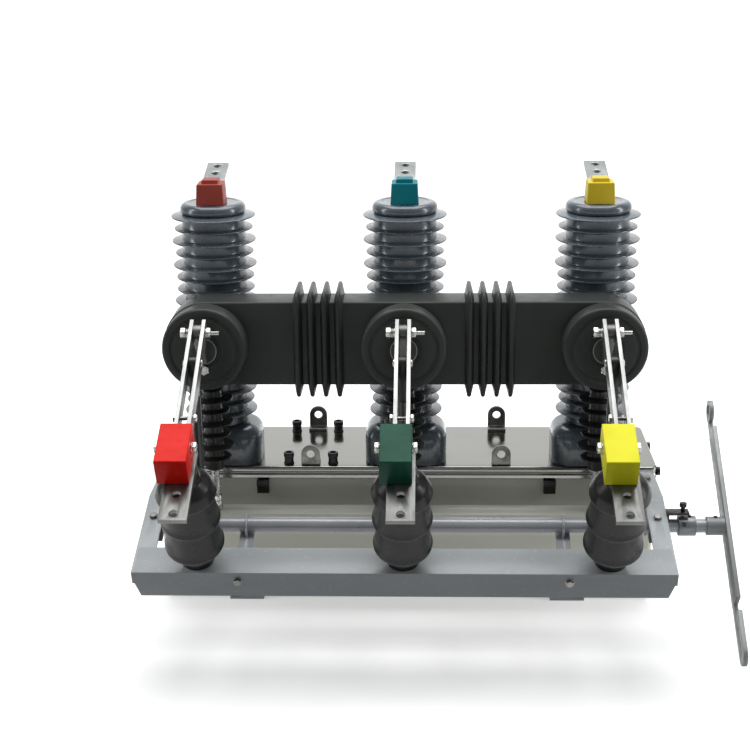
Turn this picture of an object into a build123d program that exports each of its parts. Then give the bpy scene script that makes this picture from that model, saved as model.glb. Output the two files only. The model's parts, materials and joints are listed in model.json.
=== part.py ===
from build123d import *
import os
from math import cos, radians, sin

# Pole mounted recloser: three vacuum poles on a steel mechanism box, with a
# three phase knife isolator on a sloping frame in front of it.
# Millimetres. X runs across the phases, Y to the rear, Z up. The origin is the
# middle of the four mounting holes, on the underside of the feet.

# Phases
phase_pitch = 340
phase_names = ("left", "middle", "right")
phase_x = {
    name: (place - 1) * phase_pitch for place, name in enumerate(phase_names)
}

# Mounting feet
foot_height = 22
foot_width = 64
foot_wall = 4
foot_hole_pitch_x = 600
foot_hole_pitch_y = 150
foot_hole_radius = 7

# Mechanism box and its lid
box_width = 914
box_depth = 224
box_height = 245
box_wall = 2.5
lid_overhang = 4
lid_skirt = 25
lid_edge_radius = 8
lid_side_bolt_radius = 8
lid_side_bolt_head = 6
lid_side_bolt_pitch = 130
lid_side_bolt_inset = 14
latch_x = 262
latch_width = 22
latch_height = 26
latch_depth = 9
latch_hook_height = 10
latch_hook_depth = 4

# Lifting lugs and the threaded sleeves beside the left ones
lug_x = 174
lug_inset = 10
lug_width = 34
lug_height = 44
lug_thickness = 5
lug_hole_radius = 7.5
lug_hole_height = 27
front_lug_height = 38
front_lug_hole_height = 21
lug_foot_depth = 22
sleeve_radius = 9.5
sleeve_bore_radius = 4
sleeve_height = 21.5
sleeve_offset = 40.5
sleeve_front_reach = 94
sleeve_rear_reach = 80

# Pole base, the current transformer housing
pole_setback = 56
base_width = 148
base_depth = 108
base_height = 74
base_corner_radius = 34
base_shoulder_radius = 28
push_rod_bore_radius = 16

# Sheds, from rim to trunk
shed_lip = 1.4
shed_hollow = 0.6
shed_root = 8.5

# Pole insulator
lower_trunk_radius = 48
lower_shed_count = 5
lower_shed_large_radius = 66
lower_shed_small_radius = 61.5
lower_shed_start = 20.3
lower_shed_pitch = 21.3
trunk_step_start = 17.5
upper_trunk_radius = 56
upper_shed_count = 12
upper_shed_large_radius = 74.2
upper_shed_small_radius = 69.3
upper_shed_start = 17.8
upper_shed_pitch = 21.9
cap_radius = 58
cap_start = 23.8
cap_edge_radius = 11
cap_foot_chamfer = 3.5
pole_bore_radius = 36
pole_bore_cover = 32.5
neck_radius = 42
neck_overlap = 10

# Vacuum interrupter inside each pole, with its push rod
bottle_radius = 32
bottle_length = 176
bottle_cap_radius = 26
bottle_cap_length = 12
push_rod_radius = 9
push_rod_bottom = -40
terminal_stud_radius = 8

# Top terminal and its coloured cover
terminal_width = 37.5
terminal_thickness = 6
terminal_foot_depth = 25
top_terminal_tilt = 14
top_terminal_length = 94
top_terminal_rise = 31.5
terminal_hole_radius = 6.8
top_hole_pitch = 32
top_hole_inset = 16
cover_wall = 2.5
cover_gap = 0.6
top_cover_width = 49
top_cover_depth = 48
top_cover_height = 36.5
top_cover_taper = 3
top_cover_front = 38
top_cover_slot_height = 34.4
top_button_width = 28
top_button_depth = 30
top_button_front = 27
top_button_height = 7

# Horizontal phase beam
beam_height = 148
beam_depth = 66
beam_centre_height = 259
beam_rear_gap = 79
fin_rise = 20
fin_root_thickness = 16
fin_tip_thickness = 4
fin_shoulder_thickness = 8
fin_shoulder_drop = 2.5
fin_pitch = 23.6
fin_count = 4
fin_group_x = 147
fin_corner_radius = 18
fin_root_depth = 1
fin_root_corner_radius = 4
boss_radius = 72
boss_length = 38
boss_edge_radius = 6
boss_groove_radius = 56
boss_groove_width = 5
boss_groove_depth = 3

# Knife isolator, seen from the side: hinge, blades and the two crank pins
hinge_reach = 51
hinge_rise = 45
knife_slope = 29.4
knife_reach = 248
blade_tail = 18
blade_nose = 27
blade_height = 28
blade_thickness = 6
blade_gap = 14
blade_bevel = 12
lug_tongue_thickness = 13.6
lug_eye_radius = 14
lug_pad_radius = 23
lug_pad_thickness = 6
lug_rise = 38
running_clearance = 0.05
hinge_bolt_radius = 5
seat_bolt_drop = 34
seat_bolt_head = 6
nut_radius = 9
nut_length = 8
spring_radius = 7.5
spring_length = 7
bolt_tail_radius = 3.5
bolt_tail_length = 14
side_play = 0.4
crank_length = 69
crank_pin_radius = 4
pin_head_radius = 6.5
pin_head_length = 3.5
spring_bolt_reach = 188
spring_bolt_radius = 3.5
spring_bolt_nut_radius = 7
spring_bolt_nut_length = 6
cover_spacer_radius = 6.5

# Drive rod between crank and knife
rod_radius = 9
rod_end_radius = 11
rod_end_length = 58
rod_end_thickness = 13.2
rod_eye_clearance = 0.3

# Cover on the lower end of each knife, in the slope of the lower terminal
terminal_slope = 24.5
cover_width = 50
cover_length = 84
cover_front = 45
cover_rise = 48
cover_offset = -8
cover_lift = 0.5
cover_edge_radius = 2

# Lower terminal: plate and upright contact
contact_rise = 25.8
contact_offset = 7.7
contact_thickness = 13.6
contact_front = 20
contact_rear = 28
contact_height = 40
contact_slot_width = 12
plate_width = 44
plate_thickness = 7
plate_front = 120
plate_rear = 26
plate_hole_first = 66.6
plate_hole_pitch = 39.5

# Post insulator below the lower terminal
post_lean = 28
post_length = 222
post_run_out = 12
post_offset = 7.4
post_foot_radius = 27
post_foot_height = 16
post_core_radius = 39
post_shed_radius = 49
post_shed_count = 3
post_shed_start = 43
post_shed_pitch = 63
post_shed_lip = 2.5
post_shed_hollow = 2
post_shed_root = 15
post_head_start = 200
post_head_radius = 25

# Sloping front frame
frame_half_width = 447
frame_drop = 5
frame_wall = 4
frame_slope = 17.3
rail_flat = 130
rail_slope_length = 198
rail_width = 33
rail_web = 50
rail_end_flange = 20
web_hole_gap = 1.5
member_depth = 62
member_face = 51
member_lip = 10
bevel_height = 26
bevel_width = 8
bevel_run = 36
member_bolt_x = 272
member_bolt_drop = 18
frame_bolt_radius = 6.8
frame_bolt_head = 5.5
bolt_shank_radius = 4
bolt_hole_clearance = 0.2
rail_bolt_flat = 46
rail_bolt_slope = 56.6
rail_bolt_length = 9
cross_drop = 56
cross_depth = 44
cross_height = 40
hanger_depth = 30

# Shedded support posts below the beam, on their studs
stay_core_radius = 16.5
stay_shed_count = 6
stay_shed_small_radius = 30
stay_shed_large_radius = 36
stay_shed_start = 22
stay_shed_pitch = 22
stay_shed_root = 7
stay_bottom = 19
stay_stud_radius = 7.5
stay_stud_bottom = -81
stay_nut_radius = 10
stay_nut_length = 24

# Operating shaft and its cranks
shaft_drop = 37
shaft_lead = 225
tube_radius = 13.25
tube_end_gap = 2
shaft_end_radius = 11.75
shaft_reach = 99
collar_radius = 18
collar_length = 6
crank_thickness = 6
crank_eye_radius = 11
crank_hub_radius = 21
bearing_width = 25
bearing_length = 44
bearing_depth = 40

# Guides that steady the tube
guide_wire_radius = 1.8
guide_gap = 0.4
guide_arm_drop = 40
guide_arm_width = 24
guide_arm_length = 165
guide_tab_height = 30
guide_leg_length = 10

# Coupling, its lock and the hand lever
coupling_gap = 21
coupling_length = 29
coupling_radius = 17.25
hub_length = 30
hub_radius = 16
screw_radius = 3
screw_rise = 2
coupling_screw_inset = 19
hub_screw_inset = 15
lock_inset = 7
lock_hole_radius = 4
opening_angle = 60
lock_pin_radius = 3.5
lock_pin_lift = 3
lock_arm_lift = 6
lock_arm_thickness = 4
lock_arm_width = 22
lock_arm_margin = 10
lock_plate_height = 30
lock_knob_radius = 6
lock_knob_lift = 8
lock_knob_length = 7
lever_half_length = 259
lever_angle = 36
lever_width = 42
lever_thickness = 7
lever_eye_radius = 20
lever_eye_hole_radius = 12
lever_neck_length = 25
lever_neck_width = 12
lever_neck_offset = 12
lever_eye_lap = 8
hook_radius = 19
hook_slot_radius = 7
hook_run = 71
hook_mouth = 22

os.makedirs("parts", exist_ok=True)


def side(y, z):
    """Return a point of the side view, where every phase looks the same."""
    return Vector(0, y, z)


def side_plane(x, point, direction):
    """Return a plane across X whose own x axis runs along a side direction."""
    return Plane(
        origin=(x, point.Y, point.Z), x_dir=direction, z_dir=(1, 0, 0)
    )


def slope_plane(x, point, direction):
    """Return a plane whose x axis is X and whose y axis is a side direction."""
    return Plane(
        origin=(x, point.Y, point.Z),
        x_dir=(1, 0, 0),
        z_dir=(0, -direction.Z, direction.Y),
    )


def slope(angle):
    """Return the side direction that rises to the rear by an angle."""
    return side(cos(radians(angle)), sin(radians(angle)))


def square_to(direction):
    """Return the side direction that stands upright on a sloping one."""
    return side(-direction.Z, direction.Y)


# Places worked out from the sizes above
box_top = foot_height + box_height
box_front = -box_depth / 2
pole_y = box_front + pole_setback
beam_z = box_top + beam_centre_height
beam_rear = pole_y - beam_rear_gap
beam_front = beam_rear - beam_depth
boss_face = beam_front - boss_length
hinge = side(boss_face - hinge_reach, beam_z + hinge_rise)
knife_dir = slope(knife_slope)
contact = hinge - knife_dir * knife_reach
knife_pin = hinge - knife_dir * crank_length
plate_dir = slope(terminal_slope)
plate_up = square_to(plate_dir)
plate_top = contact - plate_up * contact_rise - plate_dir * contact_offset
plate_bottom = plate_top - plate_up * plate_thickness
post_up = square_to(slope(post_lean))
post_foot = plate_bottom - post_up * post_length - plate_dir * post_offset
frame_dir = slope(frame_slope)
frame_up = square_to(frame_dir)
rail_top = box_top - frame_drop
crease = side(box_front - rail_flat, rail_top)
member_edge = crease - frame_dir * rail_slope_length
member_rear = member_edge + frame_dir * member_depth
shaft = side(pole_y - shaft_lead, rail_top - shaft_drop)
crank_pin = shaft - knife_dir * crank_length
blade_inner = blade_gap / 2
blade_outer = blade_inner + blade_thickness
web_inner = frame_half_width - frame_wall
flange_inner = frame_half_width - rail_width
flange_x = frame_half_width - rail_width / 2
cross_top = rail_top - cross_drop
stay_y = (beam_front + beam_rear) / 2
lower_shed_places = [
    base_height + lower_shed_start + number * lower_shed_pitch
    for number in range(lower_shed_count)
]
trunk_step = lower_shed_places[-1] + trunk_step_start
upper_shed_places = [
    trunk_step + upper_shed_start + number * upper_shed_pitch
    for number in range(upper_shed_count)
]
cap_height = upper_shed_places[-1] + cap_start
pole_bore_top = cap_height - pole_bore_cover
cap_top = box_top + cap_height
shaft_end_x = frame_half_width + shaft_reach
coupling_x = frame_half_width + coupling_gap
hub_x = shaft_end_x - hub_length
lock_x = coupling_x + lock_inset
crease_shift = sin(radians(frame_slope / 2)) / cos(radians(frame_slope / 2))
shaft_along = (shaft - crease).dot(frame_dir)
shaft_below = -(shaft - crease).dot(frame_up)


def alternate(first, second, count):
    """Return the radii of a row of sheds that are large and small by turns."""
    return [(first, second)[number % 2] for number in range(count)]


def shed_outline(places, radii, trunk_radius, lip, hollow, root):
    """Return the outline points of a row of sheds, from the lowest upwards."""
    points = []
    for height, radius in zip(places, radii):
        points.append((trunk_radius, height + hollow))
        points.append((radius, height - lip))
        points.append((radius, height + lip))
        points.append((trunk_radius, height + root))
    return points


def cylinder_along_x(x_from, x_to, point, radius):
    """Add a plain cylinder along X to the part that is being built."""
    with BuildSketch(Plane.YZ.offset(x_from)) as section:
        with Locations((point.Y, point.Z)):
            Circle(radius)
    extrude(section.sketch, amount=x_to - x_from)


def bore_along_x(x_from, x_to, point, radius):
    """Cut a plain bore along X from the part that is being built."""
    with BuildSketch(Plane.YZ.offset(x_from)) as section:
        with Locations((point.Y, point.Z)):
            Circle(radius)
    extrude(section.sketch, amount=x_to - x_from, mode=Mode.SUBTRACT)


def nut_along_x(x_from, x_to, point, radius):
    """Add a six sided nut along X to the part that is being built."""
    with BuildSketch(Plane.YZ.offset(x_from)) as section:
        with Locations((point.Y, point.Z)):
            RegularPolygon(radius, 6)
    extrude(section.sketch, amount=x_to - x_from)


def write(builder, name):
    """Label a finished piece and write it under its node name."""
    builder.part.label = name
    export_step(builder.part, f"parts/{name}.step")


# Two channel feet carry the box and hold the four mounting holes
with BuildPart() as mounting_feet:
    foot_centres = [(-foot_hole_pitch_x / 2, 0), (foot_hole_pitch_x / 2, 0)]
    with BuildSketch(Plane.XY):
        with Locations(*foot_centres):
            Rectangle(foot_width, box_depth)
    extrude(amount=foot_height)
    with BuildSketch(Plane.XY.offset(foot_wall)):
        with Locations(*foot_centres):
            Rectangle(foot_width - 2 * foot_wall, box_depth)
    extrude(amount=foot_height, mode=Mode.SUBTRACT)
    with BuildSketch(Plane.XY):
        with GridLocations(foot_hole_pitch_x, foot_hole_pitch_y, 2, 2):
            Circle(foot_hole_radius)
    extrude(amount=foot_wall, mode=Mode.SUBTRACT)
write(mounting_feet, "mounting_feet")

# Folded steel box, open at the top under its lid
body_width = box_width - 2 * lid_overhang
body_depth = box_depth - 2 * lid_overhang
body_front = box_front + lid_overhang
body_top = box_top - box_wall
with BuildPart() as box_body:
    with BuildSketch(Plane.XY.offset(foot_height)):
        RectangleRounded(body_width, body_depth, lid_edge_radius)
    extrude(amount=body_top - foot_height)
    with BuildSketch(Plane.XY.offset(foot_height + box_wall)):
        RectangleRounded(
            body_width - 2 * box_wall,
            body_depth - 2 * box_wall,
            lid_edge_radius - box_wall,
        )
    extrude(amount=body_top - foot_height, mode=Mode.SUBTRACT)
write(box_body, "box_body")

# Lid with a rolled rim, holed for the push rod of each pole
with BuildPart() as box_lid:
    with BuildSketch(Plane.XY.offset(box_top - lid_skirt)):
        RectangleRounded(box_width, box_depth, lid_edge_radius + lid_overhang)
    extrude(amount=lid_skirt)
    fillet(box_lid.edges().group_by(Axis.Z)[-1], lid_edge_radius)
    with BuildSketch(Plane.XY.offset(box_top - lid_skirt)):
        RectangleRounded(
            body_width + 2 * cover_gap, body_depth + 2 * cover_gap, lid_edge_radius
        )
    extrude(amount=lid_skirt - box_wall, mode=Mode.SUBTRACT)
    with BuildSketch(Plane.XY.offset(box_top - box_wall)):
        with Locations(*[(x, pole_y) for x in phase_x.values()]):
            Circle(push_rod_bore_radius)
    extrude(amount=box_wall, mode=Mode.SUBTRACT)
write(box_lid, "box_lid")

# Side bolts of the lid
with BuildPart() as lid_bolts:
    for hand in (-1, 1):
        head_plane = Plane(
            origin=(hand * box_width / 2, 0, box_top - lid_skirt / 2),
            x_dir=(0, 1, 0),
            z_dir=(hand, 0, 0),
        )
        front_bolt = box_front + lid_side_bolt_inset
        with BuildSketch(head_plane):
            with Locations((front_bolt, 0), (front_bolt + lid_side_bolt_pitch, 0)):
                Circle(lid_side_bolt_radius)
        extrude(amount=lid_side_bolt_head)
write(lid_bolts, "lid_bolts")

# Two latches under the front rim
with BuildPart() as lid_latches:
    latch_plane = Plane(
        origin=(0, body_front, box_top - lid_skirt), x_dir=(1, 0, 0), z_dir=(0, -1, 0)
    )
    with BuildSketch(latch_plane):
        with Locations((-latch_x, 0), (latch_x, 0)):
            Rectangle(latch_width, latch_height, align=(Align.CENTER, Align.MAX))
    extrude(amount=latch_depth)
    with BuildSketch(latch_plane.offset(latch_depth)):
        with Locations((-latch_x, 0), (latch_x, 0)):
            Rectangle(latch_width, latch_hook_height, align=(Align.CENTER, Align.MAX))
    extrude(amount=latch_hook_depth)
write(lid_latches, "lid_latches")

# Four bent lifting lugs near the front and rear edges of the lid
lug_reach = box_depth / 2 - lug_inset
with BuildPart() as lifting_lugs:
    for hand, height, hole_height in (
        (-1, front_lug_height, front_lug_hole_height),
        (1, lug_height, lug_hole_height),
    ):
        lug_plane = Plane(
            origin=(0, hand * lug_reach, box_top), x_dir=(1, 0, 0), z_dir=(0, -1, 0)
        )
        lug_straight = height - lug_width / 2
        with BuildSketch(lug_plane):
            with Locations((-lug_x, 0), (lug_x, 0)):
                Rectangle(lug_width, lug_straight, align=(Align.CENTER, Align.MIN))
            with Locations((-lug_x, lug_straight), (lug_x, lug_straight)):
                Circle(lug_width / 2)
            with Locations((-lug_x, hole_height), (lug_x, hole_height)):
                Circle(lug_hole_radius, mode=Mode.SUBTRACT)
        extrude(amount=lug_thickness / 2, both=True)
        with BuildSketch(Plane.XY.offset(box_top)):
            foot_y = hand * (lug_reach - lug_foot_depth / 2)
            with Locations((-lug_x, foot_y), (lug_x, foot_y)):
                Rectangle(lug_width, lug_foot_depth)
        extrude(amount=lug_thickness)
write(lifting_lugs, "lifting_lugs")

# Threaded sleeves on both sides of the two left lugs
with BuildPart() as lug_sleeves:
    with BuildSketch(Plane.XY.offset(box_top)):
        for sleeve_y in (-sleeve_front_reach, sleeve_rear_reach):
            with Locations(
                (-lug_x - sleeve_offset, sleeve_y), (-lug_x + sleeve_offset, sleeve_y)
            ):
                Circle(sleeve_radius)
                Circle(sleeve_bore_radius, mode=Mode.SUBTRACT)
    extrude(amount=sleeve_height)
write(lug_sleeves, "lug_sleeves")


def build_pole(name, x):
    """Build the base and the shedded insulator of one pole."""
    with BuildPart() as base:
        with BuildSketch(Plane.XY.offset(box_top)):
            with Locations((x, pole_y)):
                RectangleRounded(base_width, base_depth, base_corner_radius)
        extrude(amount=base_height)
        fillet(base.edges().group_by(Axis.Z)[-1], base_shoulder_radius)
        with BuildSketch(Plane.XY.offset(box_top)):
            with Locations((x, pole_y)):
                Circle(push_rod_bore_radius)
        extrude(amount=base_height, mode=Mode.SUBTRACT)
    write(base, f"pole_base_{name}")

    lower = shed_outline(
        lower_shed_places,
        alternate(lower_shed_large_radius, lower_shed_small_radius, lower_shed_count),
        lower_trunk_radius,
        shed_lip,
        shed_hollow,
        shed_root,
    )
    half_count = upper_shed_count // 2
    lower_half = alternate(upper_shed_large_radius, upper_shed_small_radius, half_count)
    upper_half = alternate(
        upper_shed_small_radius, upper_shed_large_radius, upper_shed_count - half_count
    )
    upper = shed_outline(
        upper_shed_places,
        lower_half + upper_half,
        upper_trunk_radius,
        shed_lip,
        shed_hollow,
        shed_root,
    )
    stud_bore_radius = terminal_stud_radius + running_clearance
    section = Plane(origin=(x, pole_y, box_top), x_dir=(1, 0, 0), z_dir=(0, -1, 0))
    with BuildPart() as insulator:
        with BuildSketch(section):
            with BuildLine():
                Polyline(
                    (pole_bore_radius, base_height),
                    (lower_trunk_radius, base_height),
                    *lower,
                    (lower_trunk_radius, trunk_step),
                    (upper_trunk_radius, trunk_step),
                    *upper,
                    (cap_radius - cap_foot_chamfer, upper[-1][1]),
                    (cap_radius, upper[-1][1] + cap_foot_chamfer),
                    (cap_radius, cap_height - cap_edge_radius),
                )
                RadiusArc(
                    (cap_radius, cap_height - cap_edge_radius),
                    (cap_radius - cap_edge_radius, cap_height),
                    -cap_edge_radius,
                )
                Polyline(
                    (cap_radius - cap_edge_radius, cap_height),
                    (stud_bore_radius, cap_height),
                    (stud_bore_radius, pole_bore_top),
                    (pole_bore_radius, pole_bore_top),
                    (pole_bore_radius, base_height),
                )
            make_face()
        revolve(axis=Axis((x, pole_y, 0), (0, 0, 1)))
        neck_plane = Plane(
            origin=(x, beam_rear, beam_z), x_dir=(1, 0, 0), z_dir=(0, -1, 0)
        )
        with BuildSketch(neck_plane):
            Circle(neck_radius)
        extrude(amount=beam_rear - pole_y + upper_trunk_radius - neck_overlap)
    write(insulator, f"pole_insulator_{name}")


# Vacuum interrupters, sealed inside the insulators, each with its push rod
bottle_top = pole_bore_top - bottle_cap_length
bottle_bottom = bottle_top - bottle_length
with BuildPart() as interrupters:
    for x in phase_x.values():
        with BuildSketch(
            Plane(origin=(x, pole_y, box_top), x_dir=(1, 0, 0), z_dir=(0, -1, 0))
        ):
            with BuildLine():
                Polyline(
                    (0, push_rod_bottom),
                    (push_rod_radius, push_rod_bottom),
                    (push_rod_radius, bottle_bottom - bottle_cap_length),
                    (bottle_cap_radius, bottle_bottom - bottle_cap_length),
                    (bottle_cap_radius, bottle_bottom),
                    (bottle_radius, bottle_bottom),
                    (bottle_radius, bottle_top),
                    (bottle_cap_radius, bottle_top),
                    (bottle_cap_radius, pole_bore_top),
                    (terminal_stud_radius, pole_bore_top),
                    (terminal_stud_radius, cap_height),
                    (0, cap_height),
                    (0, push_rod_bottom),
                )
            make_face()
        revolve(axis=Axis((x, pole_y, 0), (0, 0, 1)))
write(interrupters, "interrupters")


def build_top_terminal(name, x):
    """Build the bent terminal on top of a pole and the cover over its foot."""
    with BuildPart() as terminal:
        with BuildSketch(Plane.YZ.offset(x - terminal_width / 2)):
            with Locations((pole_y + terminal_thickness, cap_top)):
                Rectangle(
                    terminal_foot_depth,
                    terminal_thickness,
                    align=(Align.MAX, Align.MIN),
                )
                Rectangle(
                    terminal_thickness,
                    top_terminal_rise,
                    align=(Align.MAX, Align.MIN),
                )
            with Locations((pole_y, cap_top + top_terminal_rise)):
                Rectangle(
                    top_terminal_length,
                    terminal_thickness,
                    rotation=top_terminal_tilt,
                    align=(Align.MIN, Align.MAX),
                )
        extrude(amount=terminal_width)
        tilt = slope(top_terminal_tilt)
        end = side(pole_y, cap_top + top_terminal_rise) + tilt * top_terminal_length
        with BuildSketch(slope_plane(x, end, tilt)):
            with Locations((0, -top_hole_inset), (0, -top_hole_inset - top_hole_pitch)):
                Circle(terminal_hole_radius)
        extrude(amount=terminal_thickness, both=True, mode=Mode.SUBTRACT)
    write(terminal, f"top_terminal_{name}")

    cover_y = pole_y - top_cover_front + top_cover_depth / 2
    button_y = pole_y - top_button_front + top_button_depth / 2
    with BuildPart() as cover:
        with BuildSketch(Plane.XY.offset(cap_top)):
            with Locations((x, cover_y)):
                Rectangle(top_cover_width, top_cover_depth)
        extrude(amount=top_cover_height, taper=top_cover_taper)
        with BuildSketch(Plane.XY.offset(cap_top + top_cover_height)):
            with Locations((x, button_y)):
                Rectangle(top_button_width, top_button_depth)
        extrude(amount=top_button_height)
        with BuildSketch(Plane.XY.offset(cap_top)):
            with Locations((x, cover_y)):
                Rectangle(
                    top_cover_width - 2 * cover_wall, top_cover_depth - 2 * cover_wall
                )
        extrude(
            amount=top_cover_height - cover_wall,
            taper=top_cover_taper,
            mode=Mode.SUBTRACT,
        )
        with BuildSketch(
            Plane(origin=(x, pole_y, cap_top), x_dir=(1, 0, 0), z_dir=(0, -1, 0))
        ):
            Rectangle(
                terminal_width + 2 * cover_gap,
                top_cover_slot_height,
                align=(Align.CENTER, Align.MIN),
            )
        extrude(amount=-top_cover_depth, mode=Mode.SUBTRACT)
    write(cover, f"top_cover_{name}")


# Half widths of a fin from its root over its rounded tip, and the depth of each one
fin_steps = (
    (-fin_root_thickness / 2, fin_rise + fin_root_depth, fin_root_corner_radius),
    (-fin_shoulder_thickness / 2, fin_shoulder_drop, fin_corner_radius - fin_shoulder_drop),
    (-fin_tip_thickness / 2, 0, fin_corner_radius),
    (fin_tip_thickness / 2, 0, fin_corner_radius),
    (fin_shoulder_thickness / 2, fin_shoulder_drop, fin_corner_radius - fin_shoulder_drop),
    (fin_root_thickness / 2, fin_rise + fin_root_depth, fin_root_corner_radius),
)

# Cast beam with its fins and the three round bosses
with BuildPart() as phase_beam:
    for group in (-1, 1):
        for number in range(fin_count):
            fin_x = group * fin_group_x + (number - (fin_count - 1) / 2) * fin_pitch
            with BuildPart() as fin:
                for step, drop, corner in fin_steps:
                    with BuildSketch(Plane.YZ.offset(fin_x + step)):
                        with Locations((stay_y, beam_z)):
                            RectangleRounded(
                                beam_depth + 2 * (fin_rise - drop),
                                beam_height + 2 * (fin_rise - drop),
                                corner,
                            )
                loft(ruled=True)
    beam_plane = Plane(
        origin=(0, beam_front, beam_z), x_dir=(1, 0, 0), z_dir=(0, -1, 0)
    )
    with BuildSketch(beam_plane):
        SlotCenterToCenter(2 * phase_pitch, beam_height)
    extrude(amount=-beam_depth)
    boss_plane = beam_plane.offset(boss_length)
    with BuildSketch(beam_plane):
        with Locations(*[(x, 0) for x in phase_x.values()]):
            Circle(boss_radius)
    extrude(amount=boss_length)
    fillet(
        phase_beam.edges().filter_by_position(
            Axis.Y, boss_face - running_clearance, boss_face + running_clearance
        ),
        boss_edge_radius,
    )
    with BuildSketch(boss_plane):
        with Locations(*[(x, 0) for x in phase_x.values()]):
            Circle(boss_groove_radius)
            Circle(boss_groove_radius - boss_groove_width, mode=Mode.SUBTRACT)
    extrude(amount=-boss_groove_depth, mode=Mode.SUBTRACT)
write(phase_beam, "phase_beam")


def build_knife(name, x):
    """Build hinge lug, blades, bolts, cover and drive rod of one phase."""
    pin_bore_radius = crank_pin_radius + running_clearance
    pad_plane = Plane(origin=(x, boss_face, beam_z), x_dir=(1, 0, 0), z_dir=(0, -1, 0))
    with BuildPart() as lug:
        with BuildSketch(pad_plane):
            Circle(lug_pad_radius)
        extrude(amount=lug_pad_thickness)
        with BuildSketch(Plane.YZ.offset(x - lug_tongue_thickness / 2)):
            with Locations((hinge.Y, hinge.Z)):
                Circle(lug_eye_radius)
            with Locations((boss_face, beam_z)):
                Rectangle(
                    lug_pad_thickness,
                    lug_pad_radius,
                    align=(Align.MAX, Align.MAX),
                )
                Rectangle(
                    lug_pad_thickness,
                    lug_rise,
                    align=(Align.MAX, Align.MIN),
                )
            make_hull()
        extrude(amount=lug_tongue_thickness)
        bore_along_x(
            x - lug_tongue_thickness,
            x + lug_tongue_thickness,
            hinge,
            hinge_bolt_radius + running_clearance,
        )
    write(lug, f"hinge_lug_{name}")

    with BuildPart() as blades:
        for start in (-blade_outer, blade_inner):
            with BuildSketch(side_plane(x + start, hinge, knife_dir)):
                with BuildLine():
                    Polyline(
                        (blade_tail, -blade_height / 2 + blade_bevel),
                        (blade_tail, blade_height / 2),
                        (-knife_reach - blade_nose, blade_height / 2),
                        (-knife_reach - blade_nose, -blade_height / 2 + blade_bevel),
                        (-knife_reach - blade_nose + blade_bevel, -blade_height / 2),
                        (blade_tail - blade_bevel, -blade_height / 2),
                        (blade_tail, -blade_height / 2 + blade_bevel),
                    )
                make_face()
                Circle(hinge_bolt_radius + running_clearance, mode=Mode.SUBTRACT)
                with Locations((-crank_length, 0), (-knife_reach, 0)):
                    Circle(pin_bore_radius, mode=Mode.SUBTRACT)
                with Locations((-spring_bolt_reach, 0)):
                    Circle(spring_bolt_radius + running_clearance, mode=Mode.SUBTRACT)
            extrude(amount=blade_thickness)
    write(blades, f"knife_{name}")

    left_side = x + cover_offset - cover_width / 2
    right_side = left_side + cover_width
    spring_bolt = hinge - knife_dir * spring_bolt_reach
    with BuildPart() as knife_bolts:
        pin_end = blade_outer + pin_head_length
        cylinder_along_x(x - pin_end, x + pin_end, knife_pin, crank_pin_radius)
        cylinder_along_x(x - pin_end, x - blade_outer, knife_pin, pin_head_radius)
        cylinder_along_x(x + blade_outer, x + pin_end, knife_pin, pin_head_radius)
        nut_end = blade_outer + spring_bolt_nut_length
        cylinder_along_x(x - nut_end, x + nut_end, spring_bolt, spring_bolt_radius)
        nut_along_x(x - nut_end, x - blade_outer, spring_bolt, spring_bolt_nut_radius)
        nut_along_x(x + blade_outer, x + nut_end, spring_bolt, spring_bolt_nut_radius)
        cylinder_along_x(left_side - nut_length, right_side + nut_length, contact, crank_pin_radius)
        cylinder_along_x(left_side + cover_wall, x - blade_outer, contact, cover_spacer_radius)
        cylinder_along_x(x + blade_outer, right_side - cover_wall, contact, cover_spacer_radius)
        nut_along_x(left_side - nut_length, left_side, contact, nut_radius)
        nut_along_x(right_side, right_side + nut_length, contact, nut_radius)
    write(knife_bolts, f"knife_bolts_{name}")

    cover_plane = slope_plane(
        x + cover_offset, plate_top + plate_up * cover_lift, plate_dir
    )
    cover_middle = cover_length / 2 - cover_front
    with BuildPart() as cover:
        with BuildSketch(cover_plane):
            with Locations((0, cover_middle)):
                Rectangle(cover_width, cover_length)
        extrude(amount=cover_rise)
        fillet(
            cover.faces().sort_by(Axis.Z)[-1].edges(),
            cover_edge_radius,
        )
        with BuildSketch(cover_plane):
            with Locations((0, cover_middle + cover_wall)):
                Rectangle(cover_width - 2 * cover_wall, cover_length)
        extrude(amount=cover_rise - cover_wall, mode=Mode.SUBTRACT)
        bore_along_x(x - cover_width, x + cover_width, contact, pin_bore_radius)
    write(cover, f"knife_cover_{name}")

    rod_line = knife_pin - crank_pin
    rod_dir = rod_line.normalized()
    rod_length = rod_line.length
    with BuildPart() as rod:
        with BuildSketch(side_plane(x - rod_end_thickness / 2, crank_pin, rod_dir)):
            with Locations((rod_end_length / 2, 0)):
                SlotCenterToCenter(rod_end_length, 2 * rod_end_radius)
            with Locations((rod_length - rod_end_length / 2, 0)):
                SlotCenterToCenter(rod_end_length, 2 * rod_end_radius)
            Circle(pin_bore_radius, mode=Mode.SUBTRACT)
            with Locations((rod_length, 0)):
                Circle(crank_pin_radius + rod_eye_clearance, mode=Mode.SUBTRACT)
        extrude(amount=rod_end_thickness)
        rod_start = crank_pin + rod_dir * rod_end_length
        with BuildSketch(
            Plane(
                origin=(x, rod_start.Y, rod_start.Z),
                x_dir=(1, 0, 0),
                z_dir=rod_dir,
            )
        ):
            Circle(rod_radius)
        extrude(amount=rod_length - 2 * rod_end_length)
    write(rod, f"drive_rod_{name}")


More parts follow.
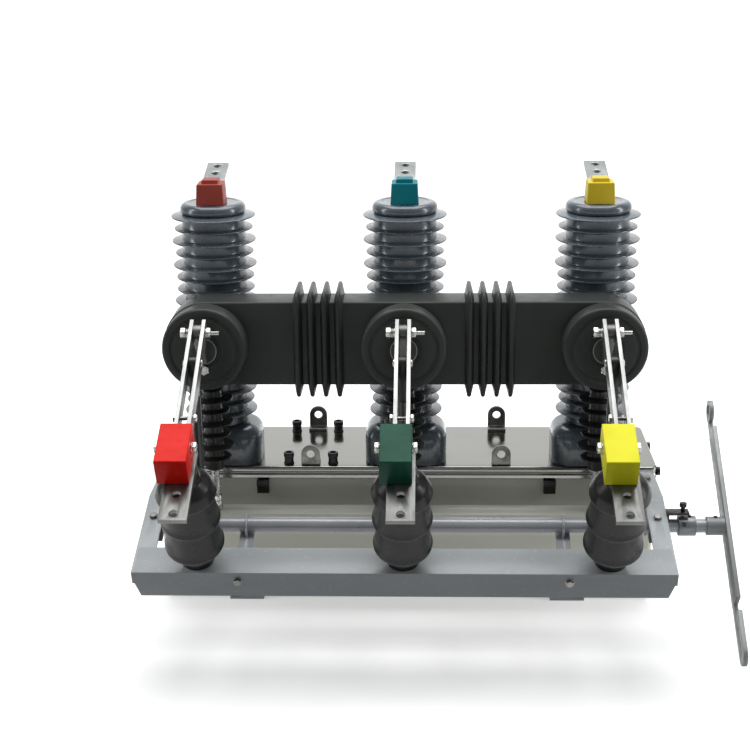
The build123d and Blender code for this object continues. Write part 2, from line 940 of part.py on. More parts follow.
# Hinge bolts with spring and nuts, and the seat bolt under each hinge lug
with BuildPart() as hinge_bolts:
    for x in phase_x.values():
        spring_start = blade_outer + side_play
        nut_start = spring_start + spring_length
        left_end = x - nut_start - nut_length
        right_end = x + spring_start + nut_length
        cylinder_along_x(left_end, right_end, hinge, hinge_bolt_radius)
        cylinder_along_x(x - nut_start, x - spring_start, hinge, spring_radius)
        nut_along_x(left_end, x - nut_start, hinge, nut_radius)
        nut_along_x(x + spring_start, right_end, hinge, nut_radius)
        cylinder_along_x(
            right_end, right_end + bolt_tail_length, hinge, bolt_tail_radius
        )
        with BuildSketch(boss_plane):
            with Locations((x, -seat_bolt_drop)):
                RegularPolygon(nut_radius, 6)
        extrude(amount=seat_bolt_head)
write(hinge_bolts, "hinge_bolts")


def build_lower_terminal(name, x):
    """Build the post insulator and the lower terminal of one phase."""
    run_out = post_foot - post_up * post_run_out
    section = Plane(
        origin=(x, post_foot.Y, post_foot.Z),
        x_dir=(1, 0, 0),
        z_dir=(0, -post_up.Z, post_up.Y),
    )
    with BuildPart() as post:
        with BuildSketch(section):
            with BuildLine():
                Polyline(
                    (0, -post_run_out),
                    (post_foot_radius, -post_run_out),
                    (post_foot_radius, post_foot_height),
                    (post_core_radius, post_foot_height + post_core_radius - post_foot_radius),
                    *shed_outline(
                        [
                            post_shed_start + number * post_shed_pitch
                            for number in range(post_shed_count)
                        ],
                        [post_shed_radius] * post_shed_count,
                        post_core_radius,
                        post_shed_lip,
                        post_shed_hollow,
                        post_shed_root,
                    ),
                    (post_core_radius, post_head_start - post_core_radius + post_head_radius),
                    (post_head_radius, post_head_start),
                    (post_head_radius, post_length + post_run_out),
                    (0, post_length + post_run_out),
                    (0, -post_run_out),
                )
            make_face()
        revolve(axis=Axis((x, run_out.Y, run_out.Z), post_up))
        with BuildSketch(slope_plane(x, member_edge, frame_dir)):
            Rectangle(4 * post_shed_radius, 4 * post_shed_radius)
        extrude(amount=-post_shed_radius, mode=Mode.SUBTRACT)
        with BuildSketch(slope_plane(x, plate_bottom, plate_dir)):
            Rectangle(2 * post_shed_radius, 2 * post_shed_radius)
        extrude(amount=post_shed_radius, mode=Mode.SUBTRACT)
    write(post, f"post_insulator_{name}")

    with BuildPart() as terminal:
        with BuildSketch(slope_plane(x, plate_bottom, plate_dir)):
            with Locations((0, (plate_rear - plate_front) / 2)):
                Rectangle(plate_width, plate_rear + plate_front)
            with Locations(
                (0, -plate_hole_first), (0, -plate_hole_first - plate_hole_pitch)
            ):
                Circle(terminal_hole_radius, mode=Mode.SUBTRACT)
        extrude(amount=plate_thickness)
        with BuildSketch(side_plane(x - contact_thickness / 2, plate_top, plate_dir)):
            with Locations((-contact_front, 0)):
                Rectangle(
                    contact_rear + contact_front,
                    contact_height,
                    align=(Align.MIN, Align.MIN),
                )
            with Locations((contact_offset, contact_rise)):
                Circle(contact_slot_width / 2, mode=Mode.SUBTRACT)
                Rectangle(
                    contact_slot_width,
                    contact_height,
                    align=(Align.CENTER, Align.MIN),
                    mode=Mode.SUBTRACT,
                )
        extrude(amount=contact_thickness)
    write(terminal, f"terminal_{name}")


for phase_name, phase_place in phase_x.items():
    build_pole(phase_name, phase_place)
    build_top_terminal(phase_name, phase_place)
    build_knife(phase_name, phase_place)
    build_lower_terminal(phase_name, phase_place)

# Front member, a folded channel between the rails
with BuildPart() as front_member:
    with BuildSketch(side_plane(-web_inner, member_edge, frame_dir)):
        Rectangle(member_depth, frame_wall, align=(Align.MIN, Align.MAX))
        Rectangle(frame_wall, member_face, align=(Align.MIN, Align.MAX))
        with Locations((0, -member_face)):
            Rectangle(member_lip, frame_wall, align=(Align.MIN, Align.MIN))
    extrude(amount=2 * web_inner)
    face_plane = Plane(
        origin=(0, member_edge.Y, member_edge.Z),
        x_dir=(1, 0, 0),
        z_dir=(0, -frame_dir.Y, -frame_dir.Z),
    )
    with BuildSketch(face_plane):
        for hand in (-1, 1):
            with BuildLine():
                Polyline(
                    (hand * web_inner, -member_face),
                    (hand * web_inner, -member_face + bevel_height),
                    (hand * (web_inner - bevel_width), -member_face),
                    (hand * web_inner, -member_face),
                )
            make_face()
    extrude(amount=-member_lip, mode=Mode.SUBTRACT)
    with BuildSketch(face_plane):
        with Locations(
            (-member_bolt_x, -member_bolt_drop), (member_bolt_x, -member_bolt_drop)
        ):
            Circle(bolt_shank_radius + bolt_hole_clearance)
    extrude(amount=-frame_wall, mode=Mode.SUBTRACT)
write(front_member, "front_member")

# Seats of the bolts on the two faces of each rail
rail_seats = (
    (side(box_front - rail_bolt_flat, rail_top), side(1, 0)),
    (crease - frame_dir * rail_bolt_slope, frame_dir),
)


def build_rail(name, hand):
    """Build one side rail, from the box down to the front member."""
    web_x = web_inner if hand > 0 else -frame_half_width
    flange_start = flange_inner if hand > 0 else -frame_half_width
    web_corner = member_edge - frame_up * rail_web
    bevel_top = web_corner + frame_up * bevel_height
    bevel_end = web_corner + frame_dir * bevel_run
    with BuildPart() as rail:
        with BuildSketch(Plane.YZ.offset(web_x)):
            with BuildLine():
                Polyline(
                    (box_front, rail_top),
                    (crease.Y, crease.Z),
                    (member_edge.Y, member_edge.Z),
                    (bevel_top.Y, bevel_top.Z),
                    (bevel_end.Y, bevel_end.Z),
                    (crease.Y + rail_web * crease_shift, rail_top - rail_web),
                    (box_front, rail_top - rail_web),
                    (box_front, rail_top),
                )
            make_face()
        extrude(amount=frame_wall)
        under_rear = member_rear - frame_up * frame_wall
        with BuildSketch(Plane.YZ.offset(flange_start)):
            with BuildLine():
                Polyline(
                    (box_front, rail_top),
                    (crease.Y, crease.Z),
                    (member_rear.Y, member_rear.Z),
                    (under_rear.Y, under_rear.Z),
                    (crease.Y + frame_wall * crease_shift, rail_top - frame_wall),
                    (box_front, rail_top - frame_wall),
                    (box_front, rail_top),
                )
            make_face()
        extrude(amount=rail_width)
        with BuildSketch(Plane.XY.offset(box_top - lid_skirt - cover_gap)):
            with Locations((hand * flange_x, body_front)):
                Rectangle(
                    rail_width,
                    frame_wall + lid_overhang,
                    align=(Align.CENTER, Align.MAX),
                )
        extrude(amount=-rail_end_flange)
        bore_along_x(web_x, web_x + frame_wall, shaft, tube_radius + web_hole_gap)
        for seat, direction in rail_seats:
            with BuildSketch(slope_plane(hand * flange_x, seat, direction)):
                Circle(bolt_shank_radius + bolt_hole_clearance)
            extrude(amount=-frame_wall, mode=Mode.SUBTRACT)
    write(rail, f"rail_{name}")


build_rail("left", -1)
build_rail("right", 1)

# Cross member below the beam, hung from the rails by its bent ends
with BuildPart() as cross_member:
    with BuildSketch(Plane.YZ.offset(-web_inner)):
        with Locations((stay_y, cross_top)):
            Rectangle(cross_depth, cross_height, align=(Align.CENTER, Align.MAX))
        with Locations((stay_y, cross_top - frame_wall)):
            Rectangle(
                cross_depth - 2 * frame_wall,
                cross_height,
                align=(Align.CENTER, Align.MAX),
                mode=Mode.SUBTRACT,
            )
    extrude(amount=2 * web_inner)
    hanger_y = box_front - rail_bolt_flat
    for hand in (-1, 1):
        with BuildSketch(Plane.XZ.offset(-hanger_y - hanger_depth / 2)):
            with Locations((hand * web_inner, rail_top - frame_wall)):
                Rectangle(
                    frame_wall,
                    cross_drop - frame_wall,
                    align=(Align.MAX if hand > 0 else Align.MIN, Align.MAX),
                )
                Rectangle(
                    rail_width - frame_wall,
                    frame_wall,
                    align=(Align.MAX if hand > 0 else Align.MIN, Align.MAX),
                )
        extrude(amount=hanger_depth)
    with BuildSketch(Plane.XY.offset(rail_top - frame_wall)):
        with Locations((-flange_x, hanger_y), (flange_x, hanger_y)):
            Circle(bolt_shank_radius + bolt_hole_clearance)
    extrude(amount=-frame_wall, mode=Mode.SUBTRACT)
    with BuildSketch(Plane.XY.offset(cross_top)):
        with Locations(*[(x, stay_y) for x in phase_x.values()]):
            Circle(stay_stud_radius + running_clearance)
    extrude(amount=-frame_wall, mode=Mode.SUBTRACT)
write(cross_member, "cross_member")

# Shedded support posts below the beam, and the stud and nut of each one
beam_bottom = beam_centre_height - beam_height / 2
with BuildPart() as support_posts:
    for x in phase_x.values():
        with BuildSketch(
            Plane(origin=(x, stay_y, box_top), x_dir=(1, 0, 0), z_dir=(0, -1, 0))
        ):
            with BuildLine():
                Polyline(
                    (0, stay_bottom),
                    (stay_core_radius, stay_bottom),
                    *shed_outline(
                        [
                            stay_bottom + stay_shed_start + number * stay_shed_pitch
                            for number in range(stay_shed_count)
                        ],
                        alternate(
                            stay_shed_small_radius, stay_shed_large_radius, stay_shed_count
                        ),
                        stay_core_radius,
                        shed_lip,
                        shed_hollow,
                        stay_shed_root,
                    ),
                    (stay_core_radius, beam_bottom),
                    (0, beam_bottom),
                    (0, stay_bottom),
                )
            make_face()
        revolve(axis=Axis((x, stay_y, 0), (0, 0, 1)))
write(support_posts, "support_posts")

with BuildPart() as post_studs:
    for x in phase_x.values():
        with BuildSketch(Plane.XY.offset(box_top + stay_stud_bottom)):
            with Locations((x, stay_y)):
                Circle(stay_stud_radius)
        extrude(amount=stay_bottom - stay_stud_bottom)
        with BuildSketch(Plane.XY.offset(cross_top)):
            with Locations((x, stay_y)):
                RegularPolygon(stay_nut_radius, 6)
        extrude(amount=stay_nut_length)
write(post_studs, "post_studs")

# Bearing blocks under the rail flanges
with BuildPart() as shaft_bearings:
    for hand in (-1, 1):
        block_x = web_inner - bearing_width if hand > 0 else -web_inner
        with BuildSketch(side_plane(block_x, crease, frame_dir)):
            with Locations((shaft_along, -frame_wall)):
                Rectangle(
                    bearing_length, bearing_depth, align=(Align.CENTER, Align.MAX)
                )
            with Locations((shaft_along, -shaft_below)):
                Circle(tube_radius + running_clearance, mode=Mode.SUBTRACT)
        extrude(amount=bearing_width)
        with BuildSketch(slope_plane(hand * flange_x, rail_seats[1][0], frame_dir)):
            Circle(bolt_shank_radius + running_clearance)
        extrude(amount=-rail_bolt_length - running_clearance, mode=Mode.SUBTRACT)
write(shaft_bearings, "shaft_bearings")

# Bolts of the front member and the rails
with BuildPart() as frame_bolts:
    with BuildSketch(face_plane):
        with Locations(
            (-member_bolt_x, -member_bolt_drop), (member_bolt_x, -member_bolt_drop)
        ):
            RegularPolygon(frame_bolt_radius, 6)
    extrude(amount=frame_bolt_head)
    with BuildSketch(face_plane):
        with Locations(
            (-member_bolt_x, -member_bolt_drop), (member_bolt_x, -member_bolt_drop)
        ):
            Circle(bolt_shank_radius)
    extrude(amount=-rail_bolt_length)
    for hand in (-1, 1):
        for seat, direction in rail_seats:
            with BuildSketch(slope_plane(hand * flange_x, seat, direction)):
                RegularPolygon(frame_bolt_radius, 6)
            extrude(amount=frame_bolt_head)
            with BuildSketch(slope_plane(hand * flange_x, seat, direction)):
                Circle(bolt_shank_radius)
            extrude(amount=-rail_bolt_length)
write(frame_bolts, "frame_bolts")

# Guides of the tube: an arm from the front member and a wire hoop round the tube
hoop_radius = tube_radius + guide_gap + guide_wire_radius
arm_start = member_edge + frame_dir * frame_wall - frame_up * guide_arm_drop
shaft_on_arm = rail_slope_length + shaft_along - frame_wall
with BuildPart() as tube_guides:
    for hand in (-1, 1):
        with BuildSketch(
            side_plane(hand * member_bolt_x - guide_arm_width / 2, arm_start, frame_dir)
        ):
            Rectangle(guide_arm_length, frame_wall, align=(Align.MIN, Align.MAX))
            Rectangle(frame_wall, guide_tab_height, align=(Align.MIN, Align.MIN))
        extrude(amount=guide_arm_width)
        with BuildSketch(face_plane):
            with Locations((hand * member_bolt_x, -member_bolt_drop)):
                Circle(bolt_shank_radius + bolt_hole_clearance)
        extrude(amount=-2 * frame_wall, mode=Mode.SUBTRACT)
        hoop_plane = side_plane(hand * member_bolt_x, arm_start, frame_dir)
        leg_bottom = -frame_wall - guide_leg_length
        with BuildLine(hoop_plane) as hoop:
            front_leg = Line(
                (shaft_on_arm - hoop_radius, leg_bottom),
                (shaft_on_arm - hoop_radius, guide_arm_drop - shaft_below),
            )
            bow = ThreePointArc(
                (shaft_on_arm - hoop_radius, guide_arm_drop - shaft_below),
                (shaft_on_arm, guide_arm_drop - shaft_below + hoop_radius),
                (shaft_on_arm + hoop_radius, guide_arm_drop - shaft_below),
            )
            rear_leg = Line(
                (shaft_on_arm + hoop_radius, guide_arm_drop - shaft_below),
                (shaft_on_arm + hoop_radius, leg_bottom),
            )
        leg_start = hoop.wire() @ 0
        with BuildSketch(
            Plane(origin=leg_start, x_dir=(1, 0, 0), z_dir=frame_up)
        ):
            Circle(guide_wire_radius)
        sweep(path=hoop.wire())
write(tube_guides, "tube_guides")

# Operating shaft: a tube with six welded cranks, collars and a solid drive end
tube_end = frame_half_width + tube_end_gap
collar_x = web_inner - bearing_width - side_play
with BuildPart() as operating_shaft:
    cylinder_along_x(-tube_end, tube_end, shaft, tube_radius)
    cylinder_along_x(-collar_x, -collar_x + collar_length, shaft, collar_radius)
    cylinder_along_x(collar_x - collar_length, collar_x, shaft, collar_radius)
    cylinder_along_x(tube_end, shaft_end_x, shaft, shaft_end_radius)
    for x in phase_x.values():
        for start in (-blade_outer, blade_inner):
            with BuildSketch(side_plane(x + start, shaft, knife_dir)):
                Circle(crank_hub_radius)
                with Locations((-crank_length, 0)):
                    Circle(crank_eye_radius)
                make_hull()
                with Locations((-crank_length, 0)):
                    Circle(crank_pin_radius + running_clearance, mode=Mode.SUBTRACT)
            extrude(amount=crank_thickness)
write(operating_shaft, "operating_shaft")

# Pins between the cranks and the drive rods
with BuildPart() as crank_pins:
    for x in phase_x.values():
        pin_end = blade_outer + pin_head_length
        cylinder_along_x(x - pin_end, x + pin_end, crank_pin, crank_pin_radius)
        cylinder_along_x(x - pin_end, x - blade_outer, crank_pin, pin_head_radius)
        cylinder_along_x(x + blade_outer, x + pin_end, crank_pin, pin_head_radius)
write(crank_pins, "crank_pins")

# Coupling sleeve with the two holes for the lock pin, one with the knives open
sleeve_bore = shaft_end_radius + running_clearance
with BuildPart() as coupling:
    cylinder_along_x(coupling_x, coupling_x + coupling_length, shaft, coupling_radius)
    bore_along_x(coupling_x, coupling_x + coupling_length, shaft, sleeve_bore)
    with BuildSketch(Plane.XY.offset(shaft.Z)):
        with Locations((coupling_x + coupling_screw_inset, shaft.Y)):
            Circle(screw_radius + running_clearance)
    extrude(amount=coupling_radius, mode=Mode.SUBTRACT)
    for angle in (0, opening_angle):
        with BuildSketch(
            Plane(
                origin=(lock_x, shaft.Y, shaft.Z),
                x_dir=(1, 0, 0),
                z_dir=square_to(slope(angle)),
            )
        ):
            Circle(lock_hole_radius)
        extrude(amount=coupling_radius, mode=Mode.SUBTRACT)
write(coupling, "coupling")

# Set screws of the coupling and of the lever hub
with BuildPart() as set_screws:
    for screw_x, seat_radius in (
        (coupling_x + coupling_screw_inset, coupling_radius),
        (hub_x + hub_screw_inset, hub_radius),
    ):
        with BuildSketch(Plane.XY.offset(shaft.Z + shaft_end_radius)):
            with Locations((screw_x, shaft.Y)):
                Circle(screw_radius)
        extrude(amount=seat_radius + screw_rise - shaft_end_radius)
write(set_screws, "set_screws")

# Hand lever: a flat bar with an eye behind and a long hook in front, on its hub
lever_dir = slope(lever_angle)
lever_plane = side_plane(shaft_end_x, shaft, lever_dir)
eye_centre = lever_half_length - lever_eye_radius
bar_rear = eye_centre - lever_eye_radius - lever_neck_length
hook_centre = lever_half_length - hook_radius
hook_end = hook_centre - hook_run
bar_front = hook_end - hook_mouth
with BuildPart() as hand_lever:
    with BuildSketch(lever_plane):
        with Locations((-bar_front, 0)):
            Rectangle(
                bar_front + bar_rear, lever_width, align=(Align.MIN, Align.CENTER)
            )
        with Locations((bar_rear, -lever_neck_offset)):
            Rectangle(
                eye_centre - lever_eye_lap - bar_rear,
                lever_neck_width,
                align=(Align.MIN, Align.CENTER),
            )
        with Locations((eye_centre, 0)):
            Circle(lever_eye_radius)
            Circle(lever_eye_hole_radius, mode=Mode.SUBTRACT)
    extrude(amount=lever_thickness)
    with BuildSketch(lever_plane):
        with Locations((-(hook_centre + bar_front) / 2, 0)):
            SlotCenterToCenter(hook_centre - bar_front, 2 * hook_radius)
            SlotCenterToCenter(
                hook_centre - bar_front, 2 * hook_slot_radius, mode=Mode.SUBTRACT
            )
        with Locations((-hook_end, -hook_slot_radius)):
            Rectangle(
                hook_mouth,
                2 * hook_radius,
                align=(Align.MIN, Align.MIN),
                mode=Mode.SUBTRACT,
            )
    extrude(amount=lever_thickness)
    cylinder_along_x(hub_x, shaft_end_x, shaft, hub_radius)
    bore_along_x(hub_x, shaft_end_x, shaft, sleeve_bore)
    with BuildSketch(Plane.XY.offset(shaft.Z)):
        with Locations((hub_x + hub_screw_inset, shaft.Y)):
            Circle(screw_radius + running_clearance)
    extrude(amount=hub_radius, mode=Mode.SUBTRACT)
write(hand_lever, "hand_lever")

# Lock: an arm on the rail web above the coupling, and its sliding pin
arm_bottom = shaft.Z + coupling_radius + lock_arm_lift
arm_top = arm_bottom + lock_arm_thickness
with BuildPart() as lock_bracket:
    with BuildSketch(Plane.XZ.offset(-shaft.Y - lock_arm_width / 2)):
        with Locations((frame_half_width, arm_top)):
            Rectangle(
                lock_x + lock_arm_margin - frame_half_width,
                lock_arm_thickness,
                align=(Align.MIN, Align.MAX),
            )
            Rectangle(
                lock_arm_thickness, lock_plate_height, align=(Align.MIN, Align.MAX)
            )
    extrude(amount=lock_arm_width)
    bore_along_x(
        frame_half_width,
        frame_half_width + lock_arm_thickness,
        shaft,
        tube_radius + web_hole_gap,
    )
    with BuildSketch(Plane.XY.offset(arm_bottom)):
        with Locations((lock_x, shaft.Y)):
            Circle(lock_pin_radius + running_clearance)
    extrude(amount=lock_arm_thickness, mode=Mode.SUBTRACT)
write(lock_bracket, "lock_bracket")

pin_bottom = shaft.Z + coupling_radius + lock_pin_lift
knob_bottom = arm_top + lock_knob_lift
with BuildPart() as lock_pin:
    with BuildSketch(Plane.XY.offset(pin_bottom)):
        with Locations((lock_x, shaft.Y)):
            Circle(lock_pin_radius)
    extrude(amount=knob_bottom - pin_bottom)
    with BuildSketch(Plane.XY.offset(knob_bottom)):
        with Locations((lock_x, shaft.Y)):
            Circle(lock_knob_radius)
    extrude(amount=lock_knob_length)
write(lock_pin, "lock_pin")
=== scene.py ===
"""Looks of a pole mounted recloser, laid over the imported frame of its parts."""

import json
import logging
import math
from collections.abc import Callable
from dataclasses import dataclass
from enum import Enum

import bmesh
import bpy
import numpy as np
from mathutils import Matrix, Vector

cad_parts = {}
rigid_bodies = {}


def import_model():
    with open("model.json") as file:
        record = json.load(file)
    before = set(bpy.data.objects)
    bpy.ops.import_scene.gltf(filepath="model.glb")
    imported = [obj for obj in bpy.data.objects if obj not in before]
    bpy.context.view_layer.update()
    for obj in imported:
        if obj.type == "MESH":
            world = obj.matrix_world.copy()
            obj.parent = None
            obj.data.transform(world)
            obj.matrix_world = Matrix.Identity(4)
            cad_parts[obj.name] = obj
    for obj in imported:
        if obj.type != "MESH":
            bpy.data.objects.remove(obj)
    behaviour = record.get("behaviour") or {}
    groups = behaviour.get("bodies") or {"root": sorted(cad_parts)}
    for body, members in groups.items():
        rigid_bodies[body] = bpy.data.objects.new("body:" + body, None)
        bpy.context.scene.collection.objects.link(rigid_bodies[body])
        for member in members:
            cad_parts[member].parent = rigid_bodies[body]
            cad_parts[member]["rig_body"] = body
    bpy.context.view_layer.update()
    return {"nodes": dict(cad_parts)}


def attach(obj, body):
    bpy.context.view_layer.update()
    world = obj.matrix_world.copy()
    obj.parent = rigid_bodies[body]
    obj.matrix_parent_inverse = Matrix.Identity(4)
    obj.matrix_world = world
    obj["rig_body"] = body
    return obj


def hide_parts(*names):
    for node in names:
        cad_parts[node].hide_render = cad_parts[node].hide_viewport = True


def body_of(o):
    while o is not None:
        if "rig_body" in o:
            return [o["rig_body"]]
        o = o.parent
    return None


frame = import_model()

LOG = logging.getLogger("recloser")
MM = 0.001
Pair = tuple[float, float]
Triple = tuple[float, float, float]
Spot = np.ndarray | Triple
Rows = list[Triple]
Socket = bpy.types.NodeSocket

LEFT: Triple = (-1, 0, 0)
RIGHT: Triple = (1, 0, 0)
FRONT: Triple = (0, -1, 0)
UP: Triple = (0, 0, 1)


class Phase(Enum):
    """The three phases, each with the X of its middle plane in millimetres."""

    LEFT = -340.0
    MIDDLE = 0.0
    RIGHT = 340.0

    @property
    def node(self) -> str:
        """Return the ending of the names of this phase's nodes."""
        return self.name.lower()


# ---- finishes


class Graph:
    """A small helper that builds the node tree of one material."""

    NOISE_SPAN = (0.3, 0.7)
    TONE_SPAN = (0.34, 0.66)

    def __init__(self, name: str) -> None:
        """Start an empty tree with a shader and an output.

        Args:
            name: name of the material.
        """
        self.material = bpy.data.materials.new(name)
        self.material.use_nodes = True
        self.tree = self.material.node_tree
        self.tree.nodes.clear()
        self.shader = self.node("BsdfPrincipled")
        self.link(self.shader.outputs["BSDF"], self.node("OutputMaterial"), "Surface")
        self.place = self.node("TexCoord").outputs["Object"]

    def node(self, kind: str, **values: object) -> bpy.types.Node:
        """Add a node and set its inputs, named with underscores.

        Args:
            kind: kind of the shader node.
            **values: values of its inputs.

        Returns:
            The new node.
        """
        node = self.tree.nodes.new(f"ShaderNode{kind}")
        self.fix(node, **values)
        return node

    def fix(self, node: bpy.types.Node, **values: object) -> None:
        """Set inputs of a node that are the same all over, named with underscores."""
        for name, value in values.items():
            node.inputs[name.replace("_", " ")].default_value = value

    def link(self, value: Socket, node: bpy.types.Node, socket: str) -> None:
        """Link a value into a socket of a node."""
        self.tree.links.new(value, node.inputs[socket])

    def noise(self, scale: float, stretch: Triple, detail: float) -> Socket:
        """Add a noise that follows the object's own coordinates.

        Args:
            scale: waves for each metre.
            stretch: factor on each axis, small along the grain.
            detail: octaves of the noise.

        Returns:
            The socket with the value of the noise.
        """
        mapping = self.node("Mapping", Scale=stretch)
        self.link(self.place, mapping, "Vector")
        noise = self.node("TexNoise", Scale=scale, Detail=detail)
        self.link(mapping.outputs["Vector"], noise, "Vector")
        return noise.outputs["Fac"]

    def spread(self, value: Socket, span: Pair) -> Socket:
        """Map the middle of a noise onto a range.

        Args:
            value: socket with the noise.
            span: results where the noise is low and where it is high.

        Returns:
            The socket with the mapped value.
        """
        low, high = self.NOISE_SPAN
        node = self.node("MapRange", From_Min=low, From_Max=high, To_Min=span[0], To_Max=span[1])
        self.link(value, node, "Value")
        return node.outputs["Result"]

    def blend(self, value: Socket, first: Triple, second: Triple) -> Socket:
        """Blend two colours by a noise.

        Args:
            value: socket with the noise.
            first: colour where the noise is low.
            second: colour where the noise is high.

        Returns:
            The socket with the colour.
        """
        ramp = self.node("ValToRGB")
        for stop, place, colour in zip(ramp.color_ramp.elements, self.TONE_SPAN, (first, second)):
            stop.position = place
            stop.color = (*colour, 1.0)
        self.link(value, ramp, "Fac")
        return ramp.outputs["Color"]

    def relief(self, value: Socket, strength: float, depth: float) -> None:
        """Raise the surface by a noise.

        Args:
            value: socket with the height.
            strength: strength of the bump.
            depth: height of the bump in metres.
        """
        bump = self.node("Bump", Strength=strength, Distance=depth)
        self.link(value, bump, "Height")
        self.link(bump.outputs["Normal"], self.shader, "Normal")


TONE_DETAIL = 3.0
GRAIN_DETAIL = 4.0
PORE_DETAIL = 2.0


@dataclass(frozen=True)
class Finish:
    """One finish of the object, dressed from layers of noise.

    The colour drifts between two tones, the roughness drifts with a finer
    noise, and a very fine noise lifts the surface. The look_ in the name keeps
    it apart from the materials of the frame.
    """

    name: str
    colour: Triple
    tone: Triple
    roughness: Pair
    metallic: float = 0.0
    drift: float = 9.0
    grain: float = 60.0
    stretch: Triple = (1.0, 1.0, 1.0)
    pore: float = 900.0
    relief: float = 0.12
    depth: float = 0.0002
    coat: float = 0.0
    coat_roughness: float = 0.1
    specular: float = 0.5
    glow: float = 0.0

    def material(self) -> bpy.types.Material:
        """Return the material of this finish, made on first use.

        Returns:
            The material.
        """
        label = f"look_{self.name}"
        known = bpy.data.materials.get(label)
        if known is not None:
            return known
        graph = Graph(label)
        slow = graph.noise(self.drift, self.stretch, TONE_DETAIL)
        graph.link(graph.blend(slow, self.colour, self.tone), graph.shader, "Base Color")
        fine = graph.noise(self.grain, self.stretch, GRAIN_DETAIL)
        graph.link(graph.spread(fine, self.roughness), graph.shader, "Roughness")
        pores = graph.noise(self.pore, self.stretch, PORE_DETAIL)
        graph.relief(pores, self.relief, self.depth)
        graph.fix(
            graph.shader,
            Metallic=self.metallic,
            Coat_Weight=self.coat,
            Coat_Roughness=self.coat_roughness,
            Specular_IOR_Level=self.specular,
            Emission_Strength=self.glow,
        )
        return graph.material


ALONG_BOX: Triple = (0.3, 1.0, 1.0)
ALONG_BLADE: Triple = (1.0, 0.25, 0.25)
UPRIGHT_GRAIN: Triple = (1.0, 1.0, 0.25)

LID_STEEL = Finish(
    "lid_steel", (0.24, 0.245, 0.235), (0.36, 0.355, 0.325), (0.10, 0.22), 1.0,
    drift=1.6, grain=30.0, stretch=ALONG_BOX, pore=420.0, relief=0.06,
)
BODY_STEEL = Finish(
    "body_steel", (0.52, 0.53, 0.465), (0.68, 0.68, 0.60), (0.42, 0.54), 0.35,
    drift=3.0, grain=30.0, stretch=ALONG_BOX, pore=500.0, relief=0.1,
)
FRAME_PAINT = Finish(
    "frame_paint", (0.365, 0.390, 0.400), (0.400, 0.425, 0.435), (0.24, 0.28),
    drift=7.0, grain=90.0, pore=600.0, relief=0.03, specular=0.45,
)
SHAFT_PAINT = Finish(
    "shaft_paint", (0.36, 0.375, 0.40), (0.44, 0.45, 0.47), (0.26, 0.38), 0.2,
    drift=8.0, grain=90.0, pore=500.0, relief=0.05, depth=0.0001, coat=0.3, coat_roughness=0.15,
)
COUPLING_STEEL = Finish(
    "coupling_steel", (0.17, 0.18, 0.19), (0.26, 0.27, 0.28), (0.24, 0.42), 0.4,
    drift=20.0, grain=110.0, pore=700.0, relief=0.2,
)
LEVER_PAINT = Finish(
    "lever_paint", (0.25, 0.262, 0.265), (0.34, 0.352, 0.355), (0.32, 0.5), 0.2,
    drift=12.0, grain=100.0, pore=600.0, relief=0.3, depth=0.0003,
)
ZINC = Finish(
    "zinc_steel", (0.42, 0.42, 0.40), (0.58, 0.57, 0.54), (0.18, 0.38), 1.0,
    drift=40.0, grain=160.0, pore=1200.0, relief=0.15,
)
LUG_STEEL = Finish(
    "lug_steel", (0.13, 0.13, 0.125), (0.26, 0.255, 0.24), (0.24, 0.42), 1.0,
    drift=30.0, grain=120.0, relief=0.2,
)
DARK_STEEL = Finish(
    "dark_steel", (0.02, 0.02, 0.02), (0.05, 0.05, 0.05), (0.25, 0.45), 0.7,
    drift=30.0, grain=120.0, relief=0.2,
)
KNIFE_SILVER = Finish(
    "knife_silver", (0.26, 0.27, 0.26), (0.38, 0.38, 0.37), (0.30, 0.44), 0.9,
    drift=25.0, grain=220.0, stretch=ALONG_BLADE, relief=0.06, depth=0.0001,
)
TINNED = Finish(
    "tinned_bar", (0.125, 0.130, 0.125), (0.195, 0.195, 0.187), (0.3, 0.45), 0.85,
    drift=25.0, grain=220.0, stretch=ALONG_BLADE, relief=0.06, depth=0.0001,
)
BRIGHT_TIN = Finish(
    "bright_tin", (0.30, 0.325, 0.32), (0.42, 0.44, 0.43), (0.3, 0.42), 0.85,
    drift=25.0, grain=220.0, stretch=UPRIGHT_GRAIN, relief=0.06, depth=0.0001,
)
SILICONE = Finish(
    "silicone", (0.068, 0.088, 0.104), (0.088, 0.112, 0.130), (0.22, 0.34),
    drift=12.0, grain=70.0, pore=800.0, relief=0.05, coat=0.6,
)
DARK_SILICONE = Finish(
    "dark_silicone", (0.010, 0.0105, 0.010), (0.020, 0.020, 0.018), (0.24, 0.38),
    drift=14.0, grain=80.0, pore=800.0, relief=0.06, specular=0.3,
)
RESIN = Finish(
    "cast_resin", (0.034, 0.039, 0.035), (0.054, 0.059, 0.054), (0.30, 0.40),
    drift=6.0, grain=45.0, pore=300.0, relief=0.015, depth=0.0001, specular=0.2,
)
ROD_RESIN = Finish(
    "rod_resin", (0.014, 0.014, 0.014), (0.03, 0.03, 0.03), (0.28, 0.42), drift=20.0, grain=90.0
)
BOTTLE = Finish("bottle_glaze", (0.75, 0.75, 0.72), (0.8, 0.8, 0.78), (0.15, 0.25))
FLOOR = Finish(
    "studio_floor", (0.93, 0.93, 0.93), (0.95, 0.95, 0.95), (0.6, 0.7), relief=0.0, glow=0.35
)


def cover_plastic(name: str, colour: Triple, tone: Triple) -> Finish:
    """Return the finish of a moulded cover, with its two tones."""
    return Finish(
        name, colour, tone, (0.34, 0.48),
        drift=20.0, grain=120.0, pore=1500.0, relief=0.08, specular=0.14,
    )


